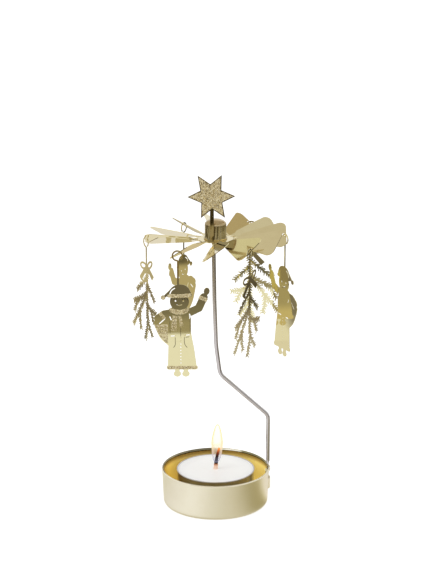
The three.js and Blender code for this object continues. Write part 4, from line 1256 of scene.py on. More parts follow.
stem_reach = cap_radius + cap_flange + strip_gap + sheet / 2
half = stem_width / 2
stem = [(-half, sheet_top), (half, sheet_top), (half, star_height), (-half, star_height)]
star_mesh = cut_sheet(combined(
    prism(star_outline(star_radius), -sheet / 2, sheet / 2), joins=[prism(stem, -sheet / 2, sheet / 2)],
))
facing_turn = Matrix.Rotation(math.radians(star_azimuth + 90), 4, "Z")
stand_up = Matrix.Translation((0, -stem_reach, 0)) @ Matrix.Rotation(math.pi / 2, 4, "X")
star_place = Matrix.Scale(mm, 4) @ facing_turn @ stand_up
ring_inner, ring_outer = collar_radius + strip_gap, cap_radius + cap_flange
ring = plain_mesh("ring", *turned([
    (ring_inner, sheet_top), (ring_outer, sheet_top), (ring_outer, flange_low), (ring_inner, flange_low),
], 96))
ring.transform(stand_up.inverted())
tab_start, tab_end = (ring_inner + ring_outer) / 2, stem_reach + sheet / 2
tab = prism(
    [(-half, -tab_end), (half, -tab_end), (half, -tab_start), (-half, -tab_start)], sheet_top, flange_low,
)
tab.data.transform(stand_up.inverted())
star = joined("six_point_star", [star_mesh, ring, tab.data], star_place, star_brass)
glitter_outline = star_outline(star_radius - 2 * glitter_inset)
star_glitter = joined(
    "star_glitter", glittered([glitter_outline], sheet / 2, star_layer, layer_grain, 7.0, 7), star_place,
)
for piece in (star, star_glitter):
    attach(piece, "rotor")
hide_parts("star_topper")
print("star:", len(star.data.polygons), "faces, glitter:", len(star_glitter.data.polygons))

# %% [markdown]
# ## Pendants: the open hook and where each one hangs
# Every pendant ends in a flat open ring that passes through its blade's hole, on a thin stem.
# Pendants are drawn once, flat, with the hook hole at zero, and carried to their blades by a
# matrix: it gives each its own direction, as in the CAD frame.

# %% Hook, stem and hanging places
hook_middle_radius, hook_strip, hook_bearing, hook_stem_angle, hook_gap = 2.3, 0.72, 56, 276, 33
stem_thin, pendant_turn = 0.9, 120  # the stem's width in mm, and a pendant's turn in degrees


def round_hook(middle, bearing):
    """The place on the hook's ring line at a bearing from its middle."""
    angle = math.radians(bearing)
    return (
        middle[0] + hook_middle_radius * math.cos(angle), middle[1] + hook_middle_radius * math.sin(angle),
    )


ring_middle = round_hook((0, 0), hook_bearing + 180)
stem_top = round_hook(ring_middle, hook_stem_angle)


def flat(outline):
    """An outline as a solid piece of the sheet."""
    return prism(outline, -sheet / 2, sheet / 2)


def through_cut(outline):
    """An outline as a solid that cuts through the sheet."""
    return prism(outline, -sheet, sheet)


def hook_solids(foot):
    """The open ring and the stem down to a foot point."""
    start = hook_stem_angle + hook_gap - 360
    outer = arc(ring_middle, hook_middle_radius + hook_strip / 2, start, hook_stem_angle, 44)
    inner = arc(ring_middle, hook_middle_radius - hook_strip / 2, hook_stem_angle, start, 44)
    return [flat(outer + inner), flat(bar(foot, stem_top, stem_thin, stem_thin))]


def hanging(blade):
    """The place of the pendant on a blade."""
    angle = math.tau * blade / blade_count
    along = (hook_radius - hub_radius) / (rotor_radius - hub_radius)
    height = rotor_level + blade_lift * lift_shares[blade] * along
    hole = Vector((hook_radius * math.cos(angle), hook_radius * math.sin(angle), height))
    turn = Matrix.Rotation(angle + math.radians(pendant_turn), 4, "Z")
    upright = Matrix.Rotation(math.pi / 2, 4, "X")
    return Matrix.Scale(mm, 4) @ Matrix.Translation(hole) @ turn @ upright


print("hooks hang at a radius of", hook_radius, "mm")

# %% [markdown]
# ## The winter figure
# A child in a long winter coat, cut from sheet: a drooping cap with a bobble, a striped scarf with
# two hanging ends, a raised mitten, a bent arm on a woven basket, and two boots. Eyes, smile,
# pockets and buttons are pierced. On the front, glitter covers the brim, scarf, cuffs, basket,
# hem and bobble, and thin etched lines draw the hair and the seams. The shares are those of the
# CAD solid, so both agree, with more points on every curve.

# %% Outlines of the figure
figure_drop, figure_height, figure_width, figure_middle = 15.5, 45.0, 26.0, -0.45
cap_shares = [
    (0.19, -0.11), (0.185, -0.06), (0.12, -0.015), (0, 0), (-0.11, -0.022),
    (-0.19, -0.07), (-0.27, -0.118), (-0.262, -0.142), (-0.19, -0.125), (0, -0.13),
]
brim_shares = [(0.2, -0.098), (0.205, -0.132), (0, -0.142), (-0.2, -0.14), (-0.205, -0.106), (0, -0.108)]
coat_shares = [
    (-0.1, -0.24), (0.1, -0.24), (0.185, -0.262), (0.205, -0.33), (0.205, -0.52), (0.262, -0.7),
    (0.305, -0.885), (-0.216, -0.885), (-0.205, -0.7), (-0.195, -0.52), (-0.205, -0.33), (-0.185, -0.262),
]
hem_shares = [
    (0.2, -0.877), (0.3, -0.877), (0.326, -0.899), (0.3, -0.921), (0.2, -0.922),
    (-0.12, -0.922), (-0.212, -0.921), (-0.236, -0.899), (-0.212, -0.877), (-0.12, -0.877),
]
cap_slot_shares = [(-0.17, -0.104), (-0.142, -0.068), (-0.085, -0.042)]
basket_shares = [
    (-0.2, -0.34), (-0.35, -0.36), (-0.445, -0.39), (-0.462, -0.42), (-0.42, -0.49),
    (-0.35, -0.575), (-0.25, -0.635), (-0.16, -0.65),
]
raised_arm_shares = [(0.17, -0.305), (0.345, -0.255), (0.435, -0.137), (0.487, -0.075)]
bent_arm_shares = [(-0.16, -0.31), (-0.27, -0.32), (-0.385, -0.367)]
leg_shares = [(-0.045, -0.9), (0.11, -0.9)]
arm_width, leg_width = 0.145 * figure_width, 0.085 * figure_width


def on_figure(share):
    """A place on the figure from its shares of width and height."""
    return (figure_middle + share[0] * figure_width, share[1] * figure_height - figure_drop)


def shares_on(place, shares):
    """Several places at once."""
    return [place(share) for share in shares]


def loop_on(place, shares):
    """A smooth loop through several places."""
    return through(shares_on(place, shares))


raised_arm, bent_arm = shares_on(on_figure, raised_arm_shares), shares_on(on_figure, bent_arm_shares)
bobble, head_half = on_figure((-0.29, -0.142)), 0.172 * figure_width
mitten = ellipse(raised_arm[-1], 0.052 * figure_width, 0.068 * figure_width, -10)
joins = [
    loop_on(on_figure, brim_shares), ellipse(bobble, 0.042 * figure_width, 0.042 * figure_width),
    ellipse(on_figure((0, -0.183)), head_half, head_half, 0, 56), shares_on(on_figure, coat_shares),
    loop_on(on_figure, hem_shares), loop_on(on_figure, basket_shares),
    *stroke(raised_arm[:-1], arm_width), *stroke(bent_arm, arm_width), mitten,
]
for leg in leg_shares:
    boot = on_figure((leg[0], -0.968))
    joins.append(bar(on_figure(leg), boot, leg_width, leg_width))
    joins.append(ellipse(boot, 0.066 * figure_width, 0.032 * figure_height))
print("figure:", len(joins) + 1, "outlines")

# %% Figure sheet with its pierced details
slot_width, mouth_width, eye_width, button_width = 0.45, 0.23, 0.75, 0.55
button_count, first_button, last_button = 9, -0.575, -0.85  # and their shares of the height
slot_shares = [
    ((-0.16, -0.557), (-0.075, -0.555)), ((0.08, -0.55), (0.18, -0.543)),
    ((-0.363, -0.425), (-0.26, -0.368)), ((-0.175, -0.345), (-0.145, -0.385)),
]
mouth = shares_on(on_figure, [(-0.045, -0.218), (0, -0.226), (0.045, -0.218)])
cuts = [ellipse(on_figure((side * 0.07, -0.178)), eye_width / 2, eye_width / 2, 0, 20) for side in (-1, 1)]
cuts += [shares_on(on_figure, [(0.165, -0.305), (0.225, -0.348), (0.175, -0.372)])]
cuts += [bar(on_figure(a), on_figure(b), slot_width, slot_width) for a, b in slot_shares]
for number in range(button_count):
    down = first_button + (last_button - first_button) * number / (button_count - 1)
    cuts.append(ellipse(on_figure((0.02, down)), button_width / 2, button_width / 2, 0, 14))
cuts += stroke(through(mouth, closed=False, steps=4), mouth_width, 10)
cap_slot = through(shares_on(on_figure, cap_slot_shares), closed=False, steps=6)
cuts += stroke(cap_slot, slot_width, 12)
hook_parts = hook_solids((stem_top[0], -figure_drop - stem_thin))
figure_mesh = cut_sheet(combined(
    flat(loop_on(on_figure, cap_shares)),
    joins=[*map(flat, joins), *hook_parts], cuts=[*map(through_cut, cuts)],
))
print("figure sheet:", len(figure_mesh.polygons), "faces")

# %% Figure glitter and etched lines
scarf_round_neck = [
    (-0.15, -0.257), (-0.08, -0.268), (0.0, -0.274), (0.08, -0.268), (0.15, -0.257), (0.172, -0.272),
    (0.162, -0.292), (0.09, -0.316), (0.0, -0.324), (-0.09, -0.316), (-0.165, -0.296), (-0.172, -0.274),
]
woven_fields = [  # four corners from the upper left, rows, columns, shift of every second row
    ([(-0.125, -0.334), (-0.035, -0.334), (-0.05, -0.472), (-0.155, -0.466)], 4, 1, 0.0),
    ([(-0.155, -0.466), (-0.05, -0.472), (-0.052, -0.502), (-0.16, -0.497)], 1, 5, 0.0),
    ([(-0.024, -0.336), (0.035, -0.334), (0.068, -0.424), (-0.006, -0.432)], 3, 1, 0.0),
    ([(-0.006, -0.432), (0.068, -0.424), (0.072, -0.452), (-0.002, -0.461)], 1, 4, 0.0),
    ([(-0.452, -0.432), (-0.207, -0.425), (-0.207, -0.463), (-0.438, -0.463)], 1, 1, 0.0),
    ([(-0.436, -0.465), (-0.207, -0.465), (-0.207, -0.54), (-0.378, -0.54)], 2, 5, 0.5),
    ([(-0.376, -0.542), (-0.207, -0.542), (-0.207, -0.638), (-0.25, -0.63)], 2, 4, 0.5),
]


def woven(corners, rows, columns, shift, gap=0.24):
    """A four-cornered field as rows of cells with narrow gaps, as outlines."""
    top_left, top_right, low_right, low_left = [Vector(on_figure(corner)) for corner in corners]
    in_x, in_y = gap / 2 / (top_right - top_left).length, gap / 2 / (low_left - top_left).length
    cells = []
    for row in range(rows):
        start, end = row / rows + in_y, (row + 1) / rows - in_y
        marks = [min(max((column - shift * (row % 2)) / columns, 0), 1) for column in range(columns + 2)]
        for a, b in zip(marks, marks[1:]):
            if b - a > 3 * in_x:
                cells.append([
                    tuple(top_left.lerp(low_left, down).lerp(top_right.lerp(low_right, down), along))
                    for down, along in (
                        (start, a + in_x), (start, b - in_x), (end, b - in_x), (end, a + in_x),
                    )
                ])
    return cells


def band(start, end, share_a, share_b, width):
    """A cuff across an arm, between two shares of its last run."""
    a, b = Vector(start), Vector(end)
    return bar(a.lerp(b, share_a), a.lerp(b, share_b), width, width)


glitter_outlines = [
    loop_on(on_figure, [(x * 0.94, y) for x, y in brim_shares]),
    ellipse(bobble, 0.036 * figure_width, 0.036 * figure_width, 0, 24),
    loop_on(on_figure, scarf_round_neck), *[cell for field in woven_fields for cell in woven(*field)],
    loop_on(on_figure, [(x * 0.97, -0.899 + (y + 0.899) * 0.72) for x, y in hem_shares]),
    band(raised_arm[1], raised_arm[2], 0.72, 1.02, arm_width * 1.08),
    band(bent_arm[1], bent_arm[2], 0.15, 0.55, arm_width),
]
etch_width, etch_rise, figure_layer = 0.24, 0.012, 0.06
etch_lines = [
    [(-0.08, -0.572), (-0.078, -0.64), (-0.09, -0.665), (-0.11, -0.68)],
    [(0.085, -0.568), (0.085, -0.62), (0.1, -0.655), (0.135, -0.68)],
    [(0.11, -0.57), (0.17, -0.563)], [(0.19, -0.33), (0.187, -0.5)], [(-0.175, -0.4), (-0.17, -0.52)],
    [(0.02, -0.47), (0.02, -0.558)],
    *[[(x, -0.147), (x * 1.14, -0.168)] for x in (-0.13, -0.09, -0.05, 0.05, 0.09, 0.13)],  # the hair
]
etch_solids = []
for line in etch_lines:
    for outline in stroke(through(shares_on(on_figure, line), closed=False, steps=5), etch_width, 8):
        etch_solids.append(prism(outline, sheet / 2 - 0.02, sheet / 2 + etch_rise).data)
glitter_meshes = glittered(glitter_outlines, sheet / 2, figure_layer, loose_grain, 7.0, 21)
for number, blade in enumerate((0, 4, 8), 1):
    body = f"figure_pendant_{number}"
    figure = placed(f"winter_figure_{number}", figure_mesh, hanging(blade), sheet_brass)
    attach(figure, body)
    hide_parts(body)
    piece = joined(f"figure_glitter_{number}", glitter_meshes, hanging(blade))
    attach(piece, body)
    lines = joined(f"figure_seams_{number}", etch_solids, hanging(blade), etched_brass)
    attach(lines, body)
print("figure glitter:", len(piece.data.polygons), "faces")

# %% [markdown]
# ## The fir twig
# A twig of branches with a bow at its top. Needles repeat along every branch, so Geometry Nodes
# grow them: the branch lines become strips, and flat needles stand on both sides at even steps,
# each leaning towards the tip with a small difference of its own. The branches' courses are the
# CAD solid's. The bow's loops and tails are cut and joined like the figure.

# %% Branch lines
twig_drop, twig_height, twig_width, twig_middle = 13.8, 36.6, 24.0, -0.6
strip_step, knot_steps = 0.005, 10  # height between two branches' strips, so that no two share a face
branch_shares = [
    [(0, 0), (-0.01, -0.4), (0, -0.68)], [(0, -0.68), (0.06, -0.79), (0.2, -0.91)],
    [(0.01, -0.75), (-0.03, -0.87), (-0.09, -0.99)], [(-0.01, -0.15), (-0.18, -0.24), (-0.42, -0.37)],
    [(0, -0.24), (0.12, -0.31), (0.3, -0.42)], [(0, -0.37), (-0.26, -0.46), (-0.56, -0.55)],
    [(-0.33, -0.48), (-0.46, -0.57), (-0.55, -0.68)], [(-0.03, -0.38), (-0.3, -0.62), (-0.6, -0.87)],
    [(-0.31, -0.63), (-0.32, -0.76), (-0.28, -0.88)], [(0, -0.51), (0.16, -0.565), (0.36, -0.585)],
    [(0.14, -0.56), (0.21, -0.63), (0.27, -0.72)],
]


def on_twig(share):
    """A place on the twig from its shares."""
    return (twig_middle + share[0] * twig_width, share[1] * twig_height - twig_drop)


def branch_lines():
    """All branches as one mesh of edges, smooth through their knots."""
    points, edges = [], []
    for number, shares in enumerate(branch_shares):
        line = through(shares_on(on_twig, shares), closed=False, steps=knot_steps)
        start, level = len(points), strip_step * (number - len(branch_shares) // 2)
        points += [(x, y, level) for x, y in line]
        edges += [(start + at, start + at + 1) for at in range(len(line) - 1)]
    return plain_mesh("branches", points, edges=edges)


print("branches:", len(branch_shares))

# %% Tree that grows strips and needles
needle_tree, needle_sockets, inlet, outlet = new_tree("needled_branches", [
    ("Needle", "NodeSocketObject", None), ("Strip width", "NodeSocketFloat", 0.9),
    ("Sheet", "NodeSocketFloat", 0.6 * sheet), ("Spacing", "NodeSocketFloat", 1.15),
    ("Needle length", "NodeSocketFloat", 1.95), ("Needle width", "NodeSocketFloat", 0.7),
    ("Lean", "NodeSocketFloat", math.radians(52)),
    ("Seed", "NodeSocketInt", 3), ("Finish", "NodeSocketMaterial", None),
])
lines = add_node(needle_tree, "GeometryNodeMeshToCurve")
section = add_node(needle_tree, "GeometryNodeCurvePrimitiveQuadrilateral")
strips = add_node(needle_tree, "GeometryNodeCurveToMesh", {"Fill Caps": True})
steps = add_node(needle_tree, "GeometryNodeCurveToPoints", mode="LENGTH")
needle = add_node(needle_tree, "GeometryNodeObjectInfo")
heading = add_node(needle_tree, "FunctionNodeAlignRotationToVector", axis="Y", pivot_axis="Z")
sway = add_node(needle_tree, "FunctionNodeRandomValue", {2: -0.16, 3: 0.16}, data_type="FLOAT")
reach = add_node(needle_tree, "FunctionNodeRandomValue", {2: 0.75, 3: 1.1}, data_type="FLOAT")
level = add_node(needle_tree, "FunctionNodeRandomValue", {2: 0.86, 3: 0.97}, data_type="FLOAT")
size = add_node(needle_tree, "ShaderNodeCombineXYZ")
join = add_node(needle_tree, "GeometryNodeJoinGeometry")
real = add_node(needle_tree, "GeometryNodeRealizeInstances")
finish = add_node(needle_tree, "GeometryNodeSetMaterial")
connect(needle_tree, [
    (inlet["Geometry"], lines.inputs["Mesh"]), (lines.outputs["Curve"], strips.inputs["Curve"]),
    (inlet["Strip width"], section.inputs["Width"]), (inlet["Sheet"], section.inputs["Height"]),
    (section.outputs["Curve"], strips.inputs["Profile Curve"]), (inlet["Spacing"], steps.inputs["Length"]),
    (lines.outputs["Curve"], steps.inputs["Curve"]), (steps.outputs["Tangent"], heading.inputs["Vector"]),
    *[(inlet["Seed"], draw.inputs["Seed"]) for draw in (sway, reach, level)],
    (inlet["Needle width"], size.inputs["X"]),
    (product(needle_tree, reach.outputs[1], inlet["Needle length"]), size.inputs["Y"]),
    (product(needle_tree, level.outputs[1], inlet["Sheet"]), size.inputs["Z"]),
    (inlet["Needle"], needle.inputs["Object"]), (strips.outputs[0], join.inputs[0]),
])
for side in (-1, 1):
    lean = add_node(needle_tree, "ShaderNodeMath", {1: side}, operation="MULTIPLY")
    swayed = add_node(needle_tree, "ShaderNodeMath", operation="ADD")
    angle = add_node(needle_tree, "FunctionNodeAxisAngleToRotation", {"Axis": (0, 0, 1)})
    turned_to = add_node(needle_tree, "FunctionNodeRotateRotation", rotation_space="GLOBAL")
    set_needles = add_node(needle_tree, "GeometryNodeInstanceOnPoints")
    connect(needle_tree, [
        (inlet["Lean"], lean.inputs[0]), (lean.outputs[0], swayed.inputs[0]),
        (sway.outputs[1], swayed.inputs[1]), (swayed.outputs[0], angle.inputs["Angle"]),
        (heading.outputs[0], turned_to.inputs["Rotation"]), (angle.outputs[0], turned_to.inputs["Rotate By"]),
        (steps.outputs["Points"], set_needles.inputs["Points"]), (set_needles.outputs[0], join.inputs[0]),
        (needle.outputs["Geometry"], set_needles.inputs["Instance"]),
        (turned_to.outputs[0], set_needles.inputs["Rotation"]),
        (size.outputs[0], set_needles.inputs["Scale"]),
    ])
connect(needle_tree, [
    (join.outputs[0], real.inputs[0]), (real.outputs[0], finish.inputs["Geometry"]),
    (inlet["Finish"], finish.inputs["Material"]), (finish.outputs[0], outlet["Geometry"]),
])
needle_form = prism([(-0.5, 0), (0.5, 0), (0.36, 1), (-0.36, 1)], -0.5, 0.5)  # of unit size
needle_mesh = grown(branch_lines(), needle_tree, needle_sockets, {
    "Needle": needle_form, "Finish": sheet_brass,
})
print("needled branches:", len(needle_mesh.polygons), "faces")

# %% Bow, stem and the three twigs
bow_width, bow_height, loop_ribbon, tail_root, tail_end = 13.2, 10.4, 1.0, 2.0, 2.5
bow_loops = [((-0.27, -0.02), 0.25, 0.145, 4), ((0.22, 0.12), 0.24, 0.13, 38)]
bow_tails = [(-0.5, -0.7), (0.46, -0.46)]
knot_share = 0.105


def on_bow(share):
    """A place on the bow from its shares."""
    return (twig_middle + share[0] * bow_width, share[1] * bow_height - twig_drop)


knot = ellipse(on_bow((0, 0)), knot_share * bow_width, knot_share * bow_width, 0, 28)
bow_joins = [flat(bar(on_bow((0, 0)), on_bow(tail), tail_root, tail_end)) for tail in bow_tails]
for middle, across, down, turn_angle in bow_loops:
    outer, inner = [ellipse(
        on_bow(middle), across * bow_width - ribbon, down * bow_width - ribbon, turn_angle, 44,
    ) for ribbon in (0, loop_ribbon)]
    bow_joins.append(bpy.data.objects.new("loop", combined(flat(outer), cuts=[through_cut(inner)])))
bow_joins += hook_solids((stem_top[0], -twig_drop))
bow_mesh = cut_sheet(combined(flat(knot), joins=bow_joins))
for number, blade in enumerate((2, 6, 10), 1):
    body = f"twig_pendant_{number}"
    twig = joined(f"fir_twig_{number}", [bow_mesh, needle_mesh], hanging(blade), sheet_brass)
    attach(twig, body)
    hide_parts(body)
print("fir twig:", len(twig.data.polygons), "faces")

# %% [markdown]
# ## Pieces kept from the CAD model
# Two small pieces are hidden when the object is whole: the bearing insert in the cap and the
# sheet foot of the wick. Their shape is right, so they only get their finish.

# %% Finishes on the kept pieces
for node, material in (("pivot_seat", cap_brass), ("wick_holder", wire_steel)):
    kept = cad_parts[node]
    kept.data.materials.clear()
    kept.data.materials.append(material)
print("kept from the CAD model: pivot_seat, wick_holder")

# %% [markdown]
# ## Floor, room and light
# The photograph has a white ground with hardly a shadow. Metal shows the room, so the room is
# part of the look; it is painted on cards that only mirror images show: white above, a pale table
# with painted shade round the bowl, and a darker room beyond the table's edge, which is what turns
# the upper half of the upright sheets dark. The floor and the world are white for the camera and
# in mirror images, the floor keeps the shadow, and the lamps stay at a plain level.

# %% Floor and world
def seen_strength(tree, camera_level, mirror_level, other_level=0.0):
    """A strength for rays of the camera, one for mirror images and glass, and one for the rest."""
    path = add_node(tree, "ShaderNodeLightPath")
    mirrored = add_node(tree, "ShaderNodeMath", operation="MAXIMUM")
    inner = add_node(tree, "ShaderNodeMapRange", {"To Min": other_level, "To Max": mirror_level})
    outer = add_node(tree, "ShaderNodeMapRange", {"To Max": camera_level})
    connect(tree, [
        (path.outputs["Is Glossy Ray"], mirrored.inputs[0]),
        (path.outputs["Is Transmission Ray"], mirrored.inputs[1]),
        (mirrored.outputs[0], inner.inputs["Value"]), (inner.outputs["Result"], outer.inputs["To Min"]),
        (path.outputs["Is Camera Ray"], outer.inputs["Value"]),
    ])
    return outer.outputs["Result"]


floor_material, tree, shader = simple("pale_floor", (0.5, 0.5, 0.5), 0.9)
set_inputs(shader, {"Specular IOR Level": 0.0, "Emission Color": (1, 1, 1, 1)})
connect(tree, [(seen_strength(tree, 0.72, 0.5), shader.inputs["Emission Strength"])])
floor_half, floor_level = 4000, -0.02
corners = [(x * floor_half, y * floor_half, floor_level) for x, y in ((-1, -1), (1, -1), (1, 1), (-1, 1))]
floor = new_piece("floor", corners, [(0, 1, 2, 3)], floor_material)

world = bpy.data.worlds.new("studio")
bpy.context.scene.world = world
world.use_nodes = True
tree = world.node_tree
background = tree.nodes["Background"]
set_inputs(background, {"Color": (1, 1, 1, 1)})
connect(tree, [(seen_strength(tree, 1.0, 1.0, 0.72), background.inputs["Strength"])])
print("floor", floor_half * 2, "mm wide")

# %% Cards that only mirror images show
def card(name, points, faces, color):
    """A card beside the set for painted reflections: metal mirrors it, and the camera doesn't see it."""
    material = bpy.data.materials.new(name)
    material.use_nodes = True
    tree = material.node_tree
    tree.nodes.clear()
    glow = add_node(tree, "ShaderNodeEmission", {"Color": (*color, 1), "Strength": 1.0})
    end = add_node(tree, "ShaderNodeOutputMaterial")
    connect(tree, [(glow.outputs[0], end.inputs["Surface"])])
    piece = new_piece(name, points, faces, material)
    for rays in ("camera", "diffuse", "shadow", "transmission"):
        setattr(piece, "visible_" + rays, False)
    return tree, glow.inputs["Color"]


def ring_card(name, radii, middle_y, height, sides=96):
    """A flat card round the set, as rings of the given radii. Returns its tree, the socket of its
    colour, and two values of a place on it: its direction, from 0 to 1, and its radius in mm."""
    points = [
        (radius * x, middle_y + radius * y, height) for radius in radii for x, y in round_steps(sides)
    ]
    tree, color = card(name, points, ring_faces(len(radii), sides, capped=False), (1, 1, 1))
    source = add_node(tree, "ShaderNodeTexCoord")
    scaled = add_node(tree, "ShaderNodeMapping", {
        "Location": (0, -middle_y, 0), "Scale": (1 / mm, 1 / mm, 0),
    })
    out = add_node(tree, "ShaderNodeVectorMath", operation="LENGTH")
    connect(tree, [(source.outputs["Object"], scaled.inputs["Vector"]), (scaled.outputs[0], out.inputs[0])])
    return tree, color, compass(tree, scaled.outputs[0]), out.outputs["Value"]


def mixed(tree, share, first, second):
    """The output of a colour mix."""
    node = add_node(tree, "ShaderNodeMix", data_type="RGBA")
    for socket, value in ((node.inputs[0], share), (node.inputs[6], first), (node.inputs[7], second)):
        if isinstance(value, tuple):
            socket.default_value = (*value, 1)
        else:
            connect(tree, [(value, socket)])
    return node.outputs[2]


def turned_ramp(tree, direction, stops):
    """A colour ramp over compass directions in degrees: 0 is right, 90 the back, 270 the front."""
    places = sorted((((degrees + 180) % 360) / 360, color) for degrees, color in stops)
    first, last = places[0], places[-1]
    share = (1 - last[0]) / (1 - last[0] + first[0])
    seam = tuple(a + (b - a) * share for a, b in zip(last[1], first[1]))
    return ramp(tree, [(0.0, seam), *places, (1.0, seam)], direction)


def eased(tree, value, start, end):
    """A soft step from zero at start to one at end."""
    step = add_node(
        tree, "ShaderNodeMapRange", {"From Min": start, "From Max": end}, interpolation_type="SMOOTHSTEP",
    )
    connect(tree, [(value, step.inputs["Value"])])
    return step.outputs["Result"]


print("card helpers ready")

# %% The table in mirror images, with painted shade round the bowl, close to it and farther off
tree, card_color, direction, radius = ring_card("table_tones", (22, 27, 32, 60, 120, 180, 240), 0, -0.01)
# painted shade of the bowl on the table, darkest to the front right
near = turned_ramp(tree, direction, [
    (124, (1.0, 1.0, 0.98)), (141, (0.92, 0.91, 0.84)), (159, (0.77, 0.75, 0.64)), (193, (0.88, 0.86, 0.84)),
    (228, (1, 1, 1)), (244, (0.96, 0.95, 0.93)), (270, (0.79, 0.77, 0.68)), (298, (0.68, 0.64, 0.51)),
    (330, (0.42, 0.37, 0.2)), (350, (0.43, 0.37, 0.19)), (0, (0.72, 0.66, 0.45)), (10, (0.98, 0.93, 0.86)),
    (33, (0.85, 0.79, 0.74)), (42, (0.62, 0.57, 0.5)), (60, (0.85, 0.8, 0.7)),
])
far = turned_ramp(tree, direction, [
    (200, (0.94, 0.92, 0.88)), (270, (1, 1, 1)), (310, (0.9, 0.86, 0.84)), (330, (0.88, 0.8, 0.72)),
    (350, (0.85, 0.8, 0.78)), (30, (0.8, 0.76, 0.68)), (90, (0.9, 0.88, 0.84)), (150, (0.88, 0.84, 0.78)),
])
# painted contact shadow under the bowl's foot
color = mixed(tree, eased(tree, radius, 25.5, 29), (0.68, 0.64, 0.52), near)
color = mixed(tree, eased(tree, radius, 110, 200), color, far)
connect(tree, [(color, card_color)])
print("table card:", len(tree.nodes), "nodes")

# %% The room in mirror images: painted reflections, in rings of tones by direction
room_middle = -27
table_near = [
    (262, (1, 1, 1)), (275, (1, 1, 1)), (337, (0.88, 0.8, 0.7)), (30, (0.48, 0.44, 0.43)),
    (33, (0.8, 0.75, 0.65)), (90, (0.9, 0.88, 0.84)), (142, (0.93, 0.9, 0.84)),
]
table_part = [
    (200, (0.94, 0.92, 0.88)), (262, (1, 1, 1)), (275, (1, 1, 1)), (310, (0.8, 0.76, 0.72)),
    (337, (0.58, 0.54, 0.52)), (0, (0.85, 0.8, 0.76)), (24, (0.6, 0.55, 0.5)), (30, (0.46, 0.42, 0.42)),
    (33, (0.8, 0.75, 0.65)), (76, (0.88, 0.84, 0.78)), (82, (0.68, 0.58, 0.37)), (96, (0.68, 0.58, 0.37)),
    (104, (0.9, 0.87, 0.82)), (142, (0.93, 0.9, 0.84)), (145.5, (0.93, 0.9, 0.84)), (146, (0.3, 0.27, 0.25)),
    (148, (0.3, 0.27, 0.25)), (150, (0.85, 0.8, 0.74)),
]
table_edge = [
    (200, (0.9, 0.88, 0.84)), (262, (0.42, 0.37, 0.24)), (275, (0.36, 0.32, 0.22)), (310, (0.7, 0.64, 0.6)),
    (330, (0.42, 0.38, 0.36)), (345, (0.42, 0.38, 0.36)), (24, (0.5, 0.44, 0.36)), (31, (0.42, 0.37, 0.34)),
    (33, (0.6, 0.52, 0.34)), (40, (0.6, 0.52, 0.36)), (82, (0.62, 0.53, 0.3)), (96, (0.62, 0.53, 0.3)),
    (139, (0.7, 0.6, 0.38)), (145.3, (0.7, 0.6, 0.38)), (146.2, (0.26, 0.23, 0.19)),
    (148, (0.26, 0.23, 0.19)), (156, (0.5, 0.46, 0.34)),
]
shade_below = [
    (200, (0.5, 0.45, 0.35)), (262, (0.25, 0.22, 0.16)), (270, (0.22, 0.2, 0.15)), (275, (0.13, 0.12, 0.09)),
    (310, (0.65, 0.6, 0.55)), (330, (0.4, 0.36, 0.33)), (350, (0.5, 0.45, 0.4)), (24, (0.3, 0.26, 0.2)),
    (31, (0.29, 0.25, 0.23)), (33, (0.57, 0.48, 0.3)), (40, (0.57, 0.48, 0.32)), (82, (0.6, 0.5, 0.27)),
    (96, (0.6, 0.5, 0.27)), (139, (0.55, 0.47, 0.3)), (145.3, (0.5, 0.42, 0.27)), (146.2, (0.23, 0.2, 0.17)),
    (148, (0.23, 0.2, 0.17)), (156, (0.4, 0.36, 0.25)),
]
room_beyond = [
    (200, (0.3, 0.27, 0.26)), (262, (0.18, 0.16, 0.13)), (275, (0.2, 0.17, 0.13)), (310, (0.75, 0.72, 0.7)),
    (350, (0.8, 0.76, 0.72)), (20, (0.2, 0.17, 0.13)), (28, (0.1, 0.085, 0.065)), (31, (0.1, 0.085, 0.065)),
    (33, (0.56, 0.48, 0.3)), (60, (0.5, 0.43, 0.28)), (100, (0.6, 0.54, 0.42)), (139, (0.5, 0.42, 0.26)),
    (145.3, (0.46, 0.38, 0.25)), (146.2, (0.26, 0.22, 0.18)), (148, (0.26, 0.22, 0.18)),
    (156, (0.25, 0.2, 0.14)),
]
far_plain = [
    (200, (0.3, 0.25, 0.15)), (262, (0.24, 0.17, 0.07)), (275, (0.24, 0.17, 0.07)), (20, (0.12, 0.1, 0.08)),
    (33, (0.12, 0.1, 0.08)), (104, (0.9, 0.84, 0.68)), (126, (0.9, 0.84, 0.68)), (145, (0.7, 0.63, 0.46)),
    (147.3, (0.66, 0.58, 0.44)), (148, (0.28, 0.24, 0.23)),
]
plain_stretches = [  # directions where the far side is plain begin or end here
    (255, (0, 0, 0)), (259, (1, 1, 1)), (278, (1, 1, 1)), (282, (0, 0, 0)), (16, (0, 0, 0)), (20, (1, 1, 1)),
    (34, (1, 1, 1)), (38, (0, 0, 0)), (101, (0, 0, 0)), (104, (1, 1, 1)), (126, (1, 1, 1)),
    (129, (0, 0, 0)), (140, (0, 0, 0)), (144, (1, 1, 1)), (149, (1, 1, 1)), (153, (0, 0, 0)),
]
tree, card_color, direction, radius = ring_card(
    "room_tones", (200, 260, 300, 340, 380, 420, 500, 700, 2600), room_middle, -0.012,
)
streak_place = add_node(tree, "ShaderNodeMath", {1: 34.0}, operation="MULTIPLY")
streaks = add_node(tree, "ShaderNodeTexNoise", {"Scale": 1.0, "Detail": 2.0}, noise_dimensions="1D")
connect(tree, [(direction, streak_place.inputs[0]), (streak_place.outputs[0], streaks.inputs["W"])])
far_streaks = ramp(tree, [
    (0.4, (0.05, 0.04, 0.02)), (0.48, (0.18, 0.15, 0.07)), (0.56, (0.34, 0.27, 0.14)),
    (0.62, (0.8, 0.7, 0.45)), (0.7, (1.0, 0.97, 0.88)),
], streaks.outputs["Fac"])
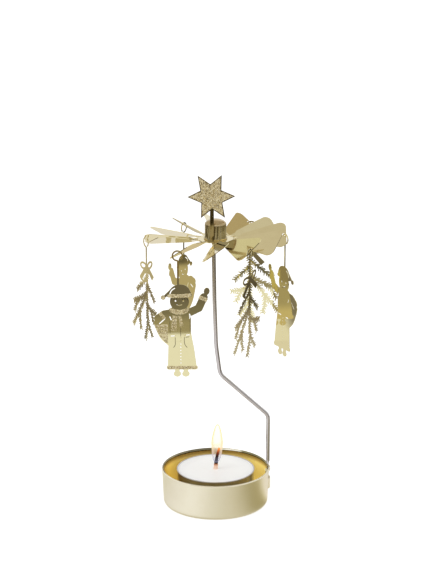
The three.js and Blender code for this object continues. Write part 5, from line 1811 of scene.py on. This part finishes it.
is_plain = turned_ramp(tree, direction, plain_stretches)
color = turned_ramp(tree, direction, table_near)
for start, end, stops in (
    (236, 262, table_part), (311, 318, table_edge), (335, 366, shade_below), (370, 398, room_beyond),
):
    color = mixed(tree, eased(tree, radius, start, end), color, turned_ramp(tree, direction, stops))
far = mixed(tree, is_plain, far_streaks, turned_ramp(tree, direction, far_plain))
connect(tree, [(mixed(tree, eased(tree, radius, 440, 460), color, far), card_color)])
print("room card:", len(tree.nodes), "nodes")

# %% Ceiling and two walls, as cards of painted reflections
tree, card_color, direction, _ = ring_card("ceiling_tones", (1, 500, 1100, 1800), 0, 1700)
tones = ramp(tree, [
    (0.0, (0.78, 0.75, 0.7)), (0.2, (0.6, 0.53, 0.46)), (0.3, (0.76, 0.72, 0.66)), (0.5, (0.78, 0.77, 0.76)),
    (0.58, (0.76, 0.75, 0.73)), (0.75, (0.68, 0.65, 0.6)), (1.0, (0.78, 0.75, 0.7)),
], direction)
connect(tree, [(tones, card_color)])
wall_depth = 2400
for name, left, right, low, high, color in (
    ("right_wall_tones", 1100, 2900, 1400, 3000, (0.56, 0.48, 0.33)),
    ("left_wall_tones", -2500, -900, 1250, 2200, (0.8, 0.79, 0.62)),
):
    corners = [(x, wall_depth, z) for x, z in ((left, low), (right, low), (right, high), (left, high))]
    card(name, corners, [(0, 1, 2, 3)], color)

# %% Lamps
lamp_aim = (0, 0, 60)


def soft_lamp(name, place, size, power):
    """A square soft box that looks at the middle of the object."""
    data = bpy.data.lights.new(name, "AREA")
    data.shape, data.size, data.energy = "SQUARE", size * mm, power
    lamp = linked(name, data)
    lamp.location = Vector(place) * mm
    lamp.rotation_euler = (Vector(lamp_aim) - Vector(place)).to_track_quat("-Z", "Y").to_euler()
    lamp.visible_glossy = False


soft_lamp("key_lamp", (-900, -700, 1000), 700, 5.0)
soft_lamp("top_lamp", (200, 300, 1400), 600, 3.0)
soft_lamp("side_lamp", (1000, -300, 500), 300, 1.2)
bpy.context.scene.view_settings.view_transform = "Standard"
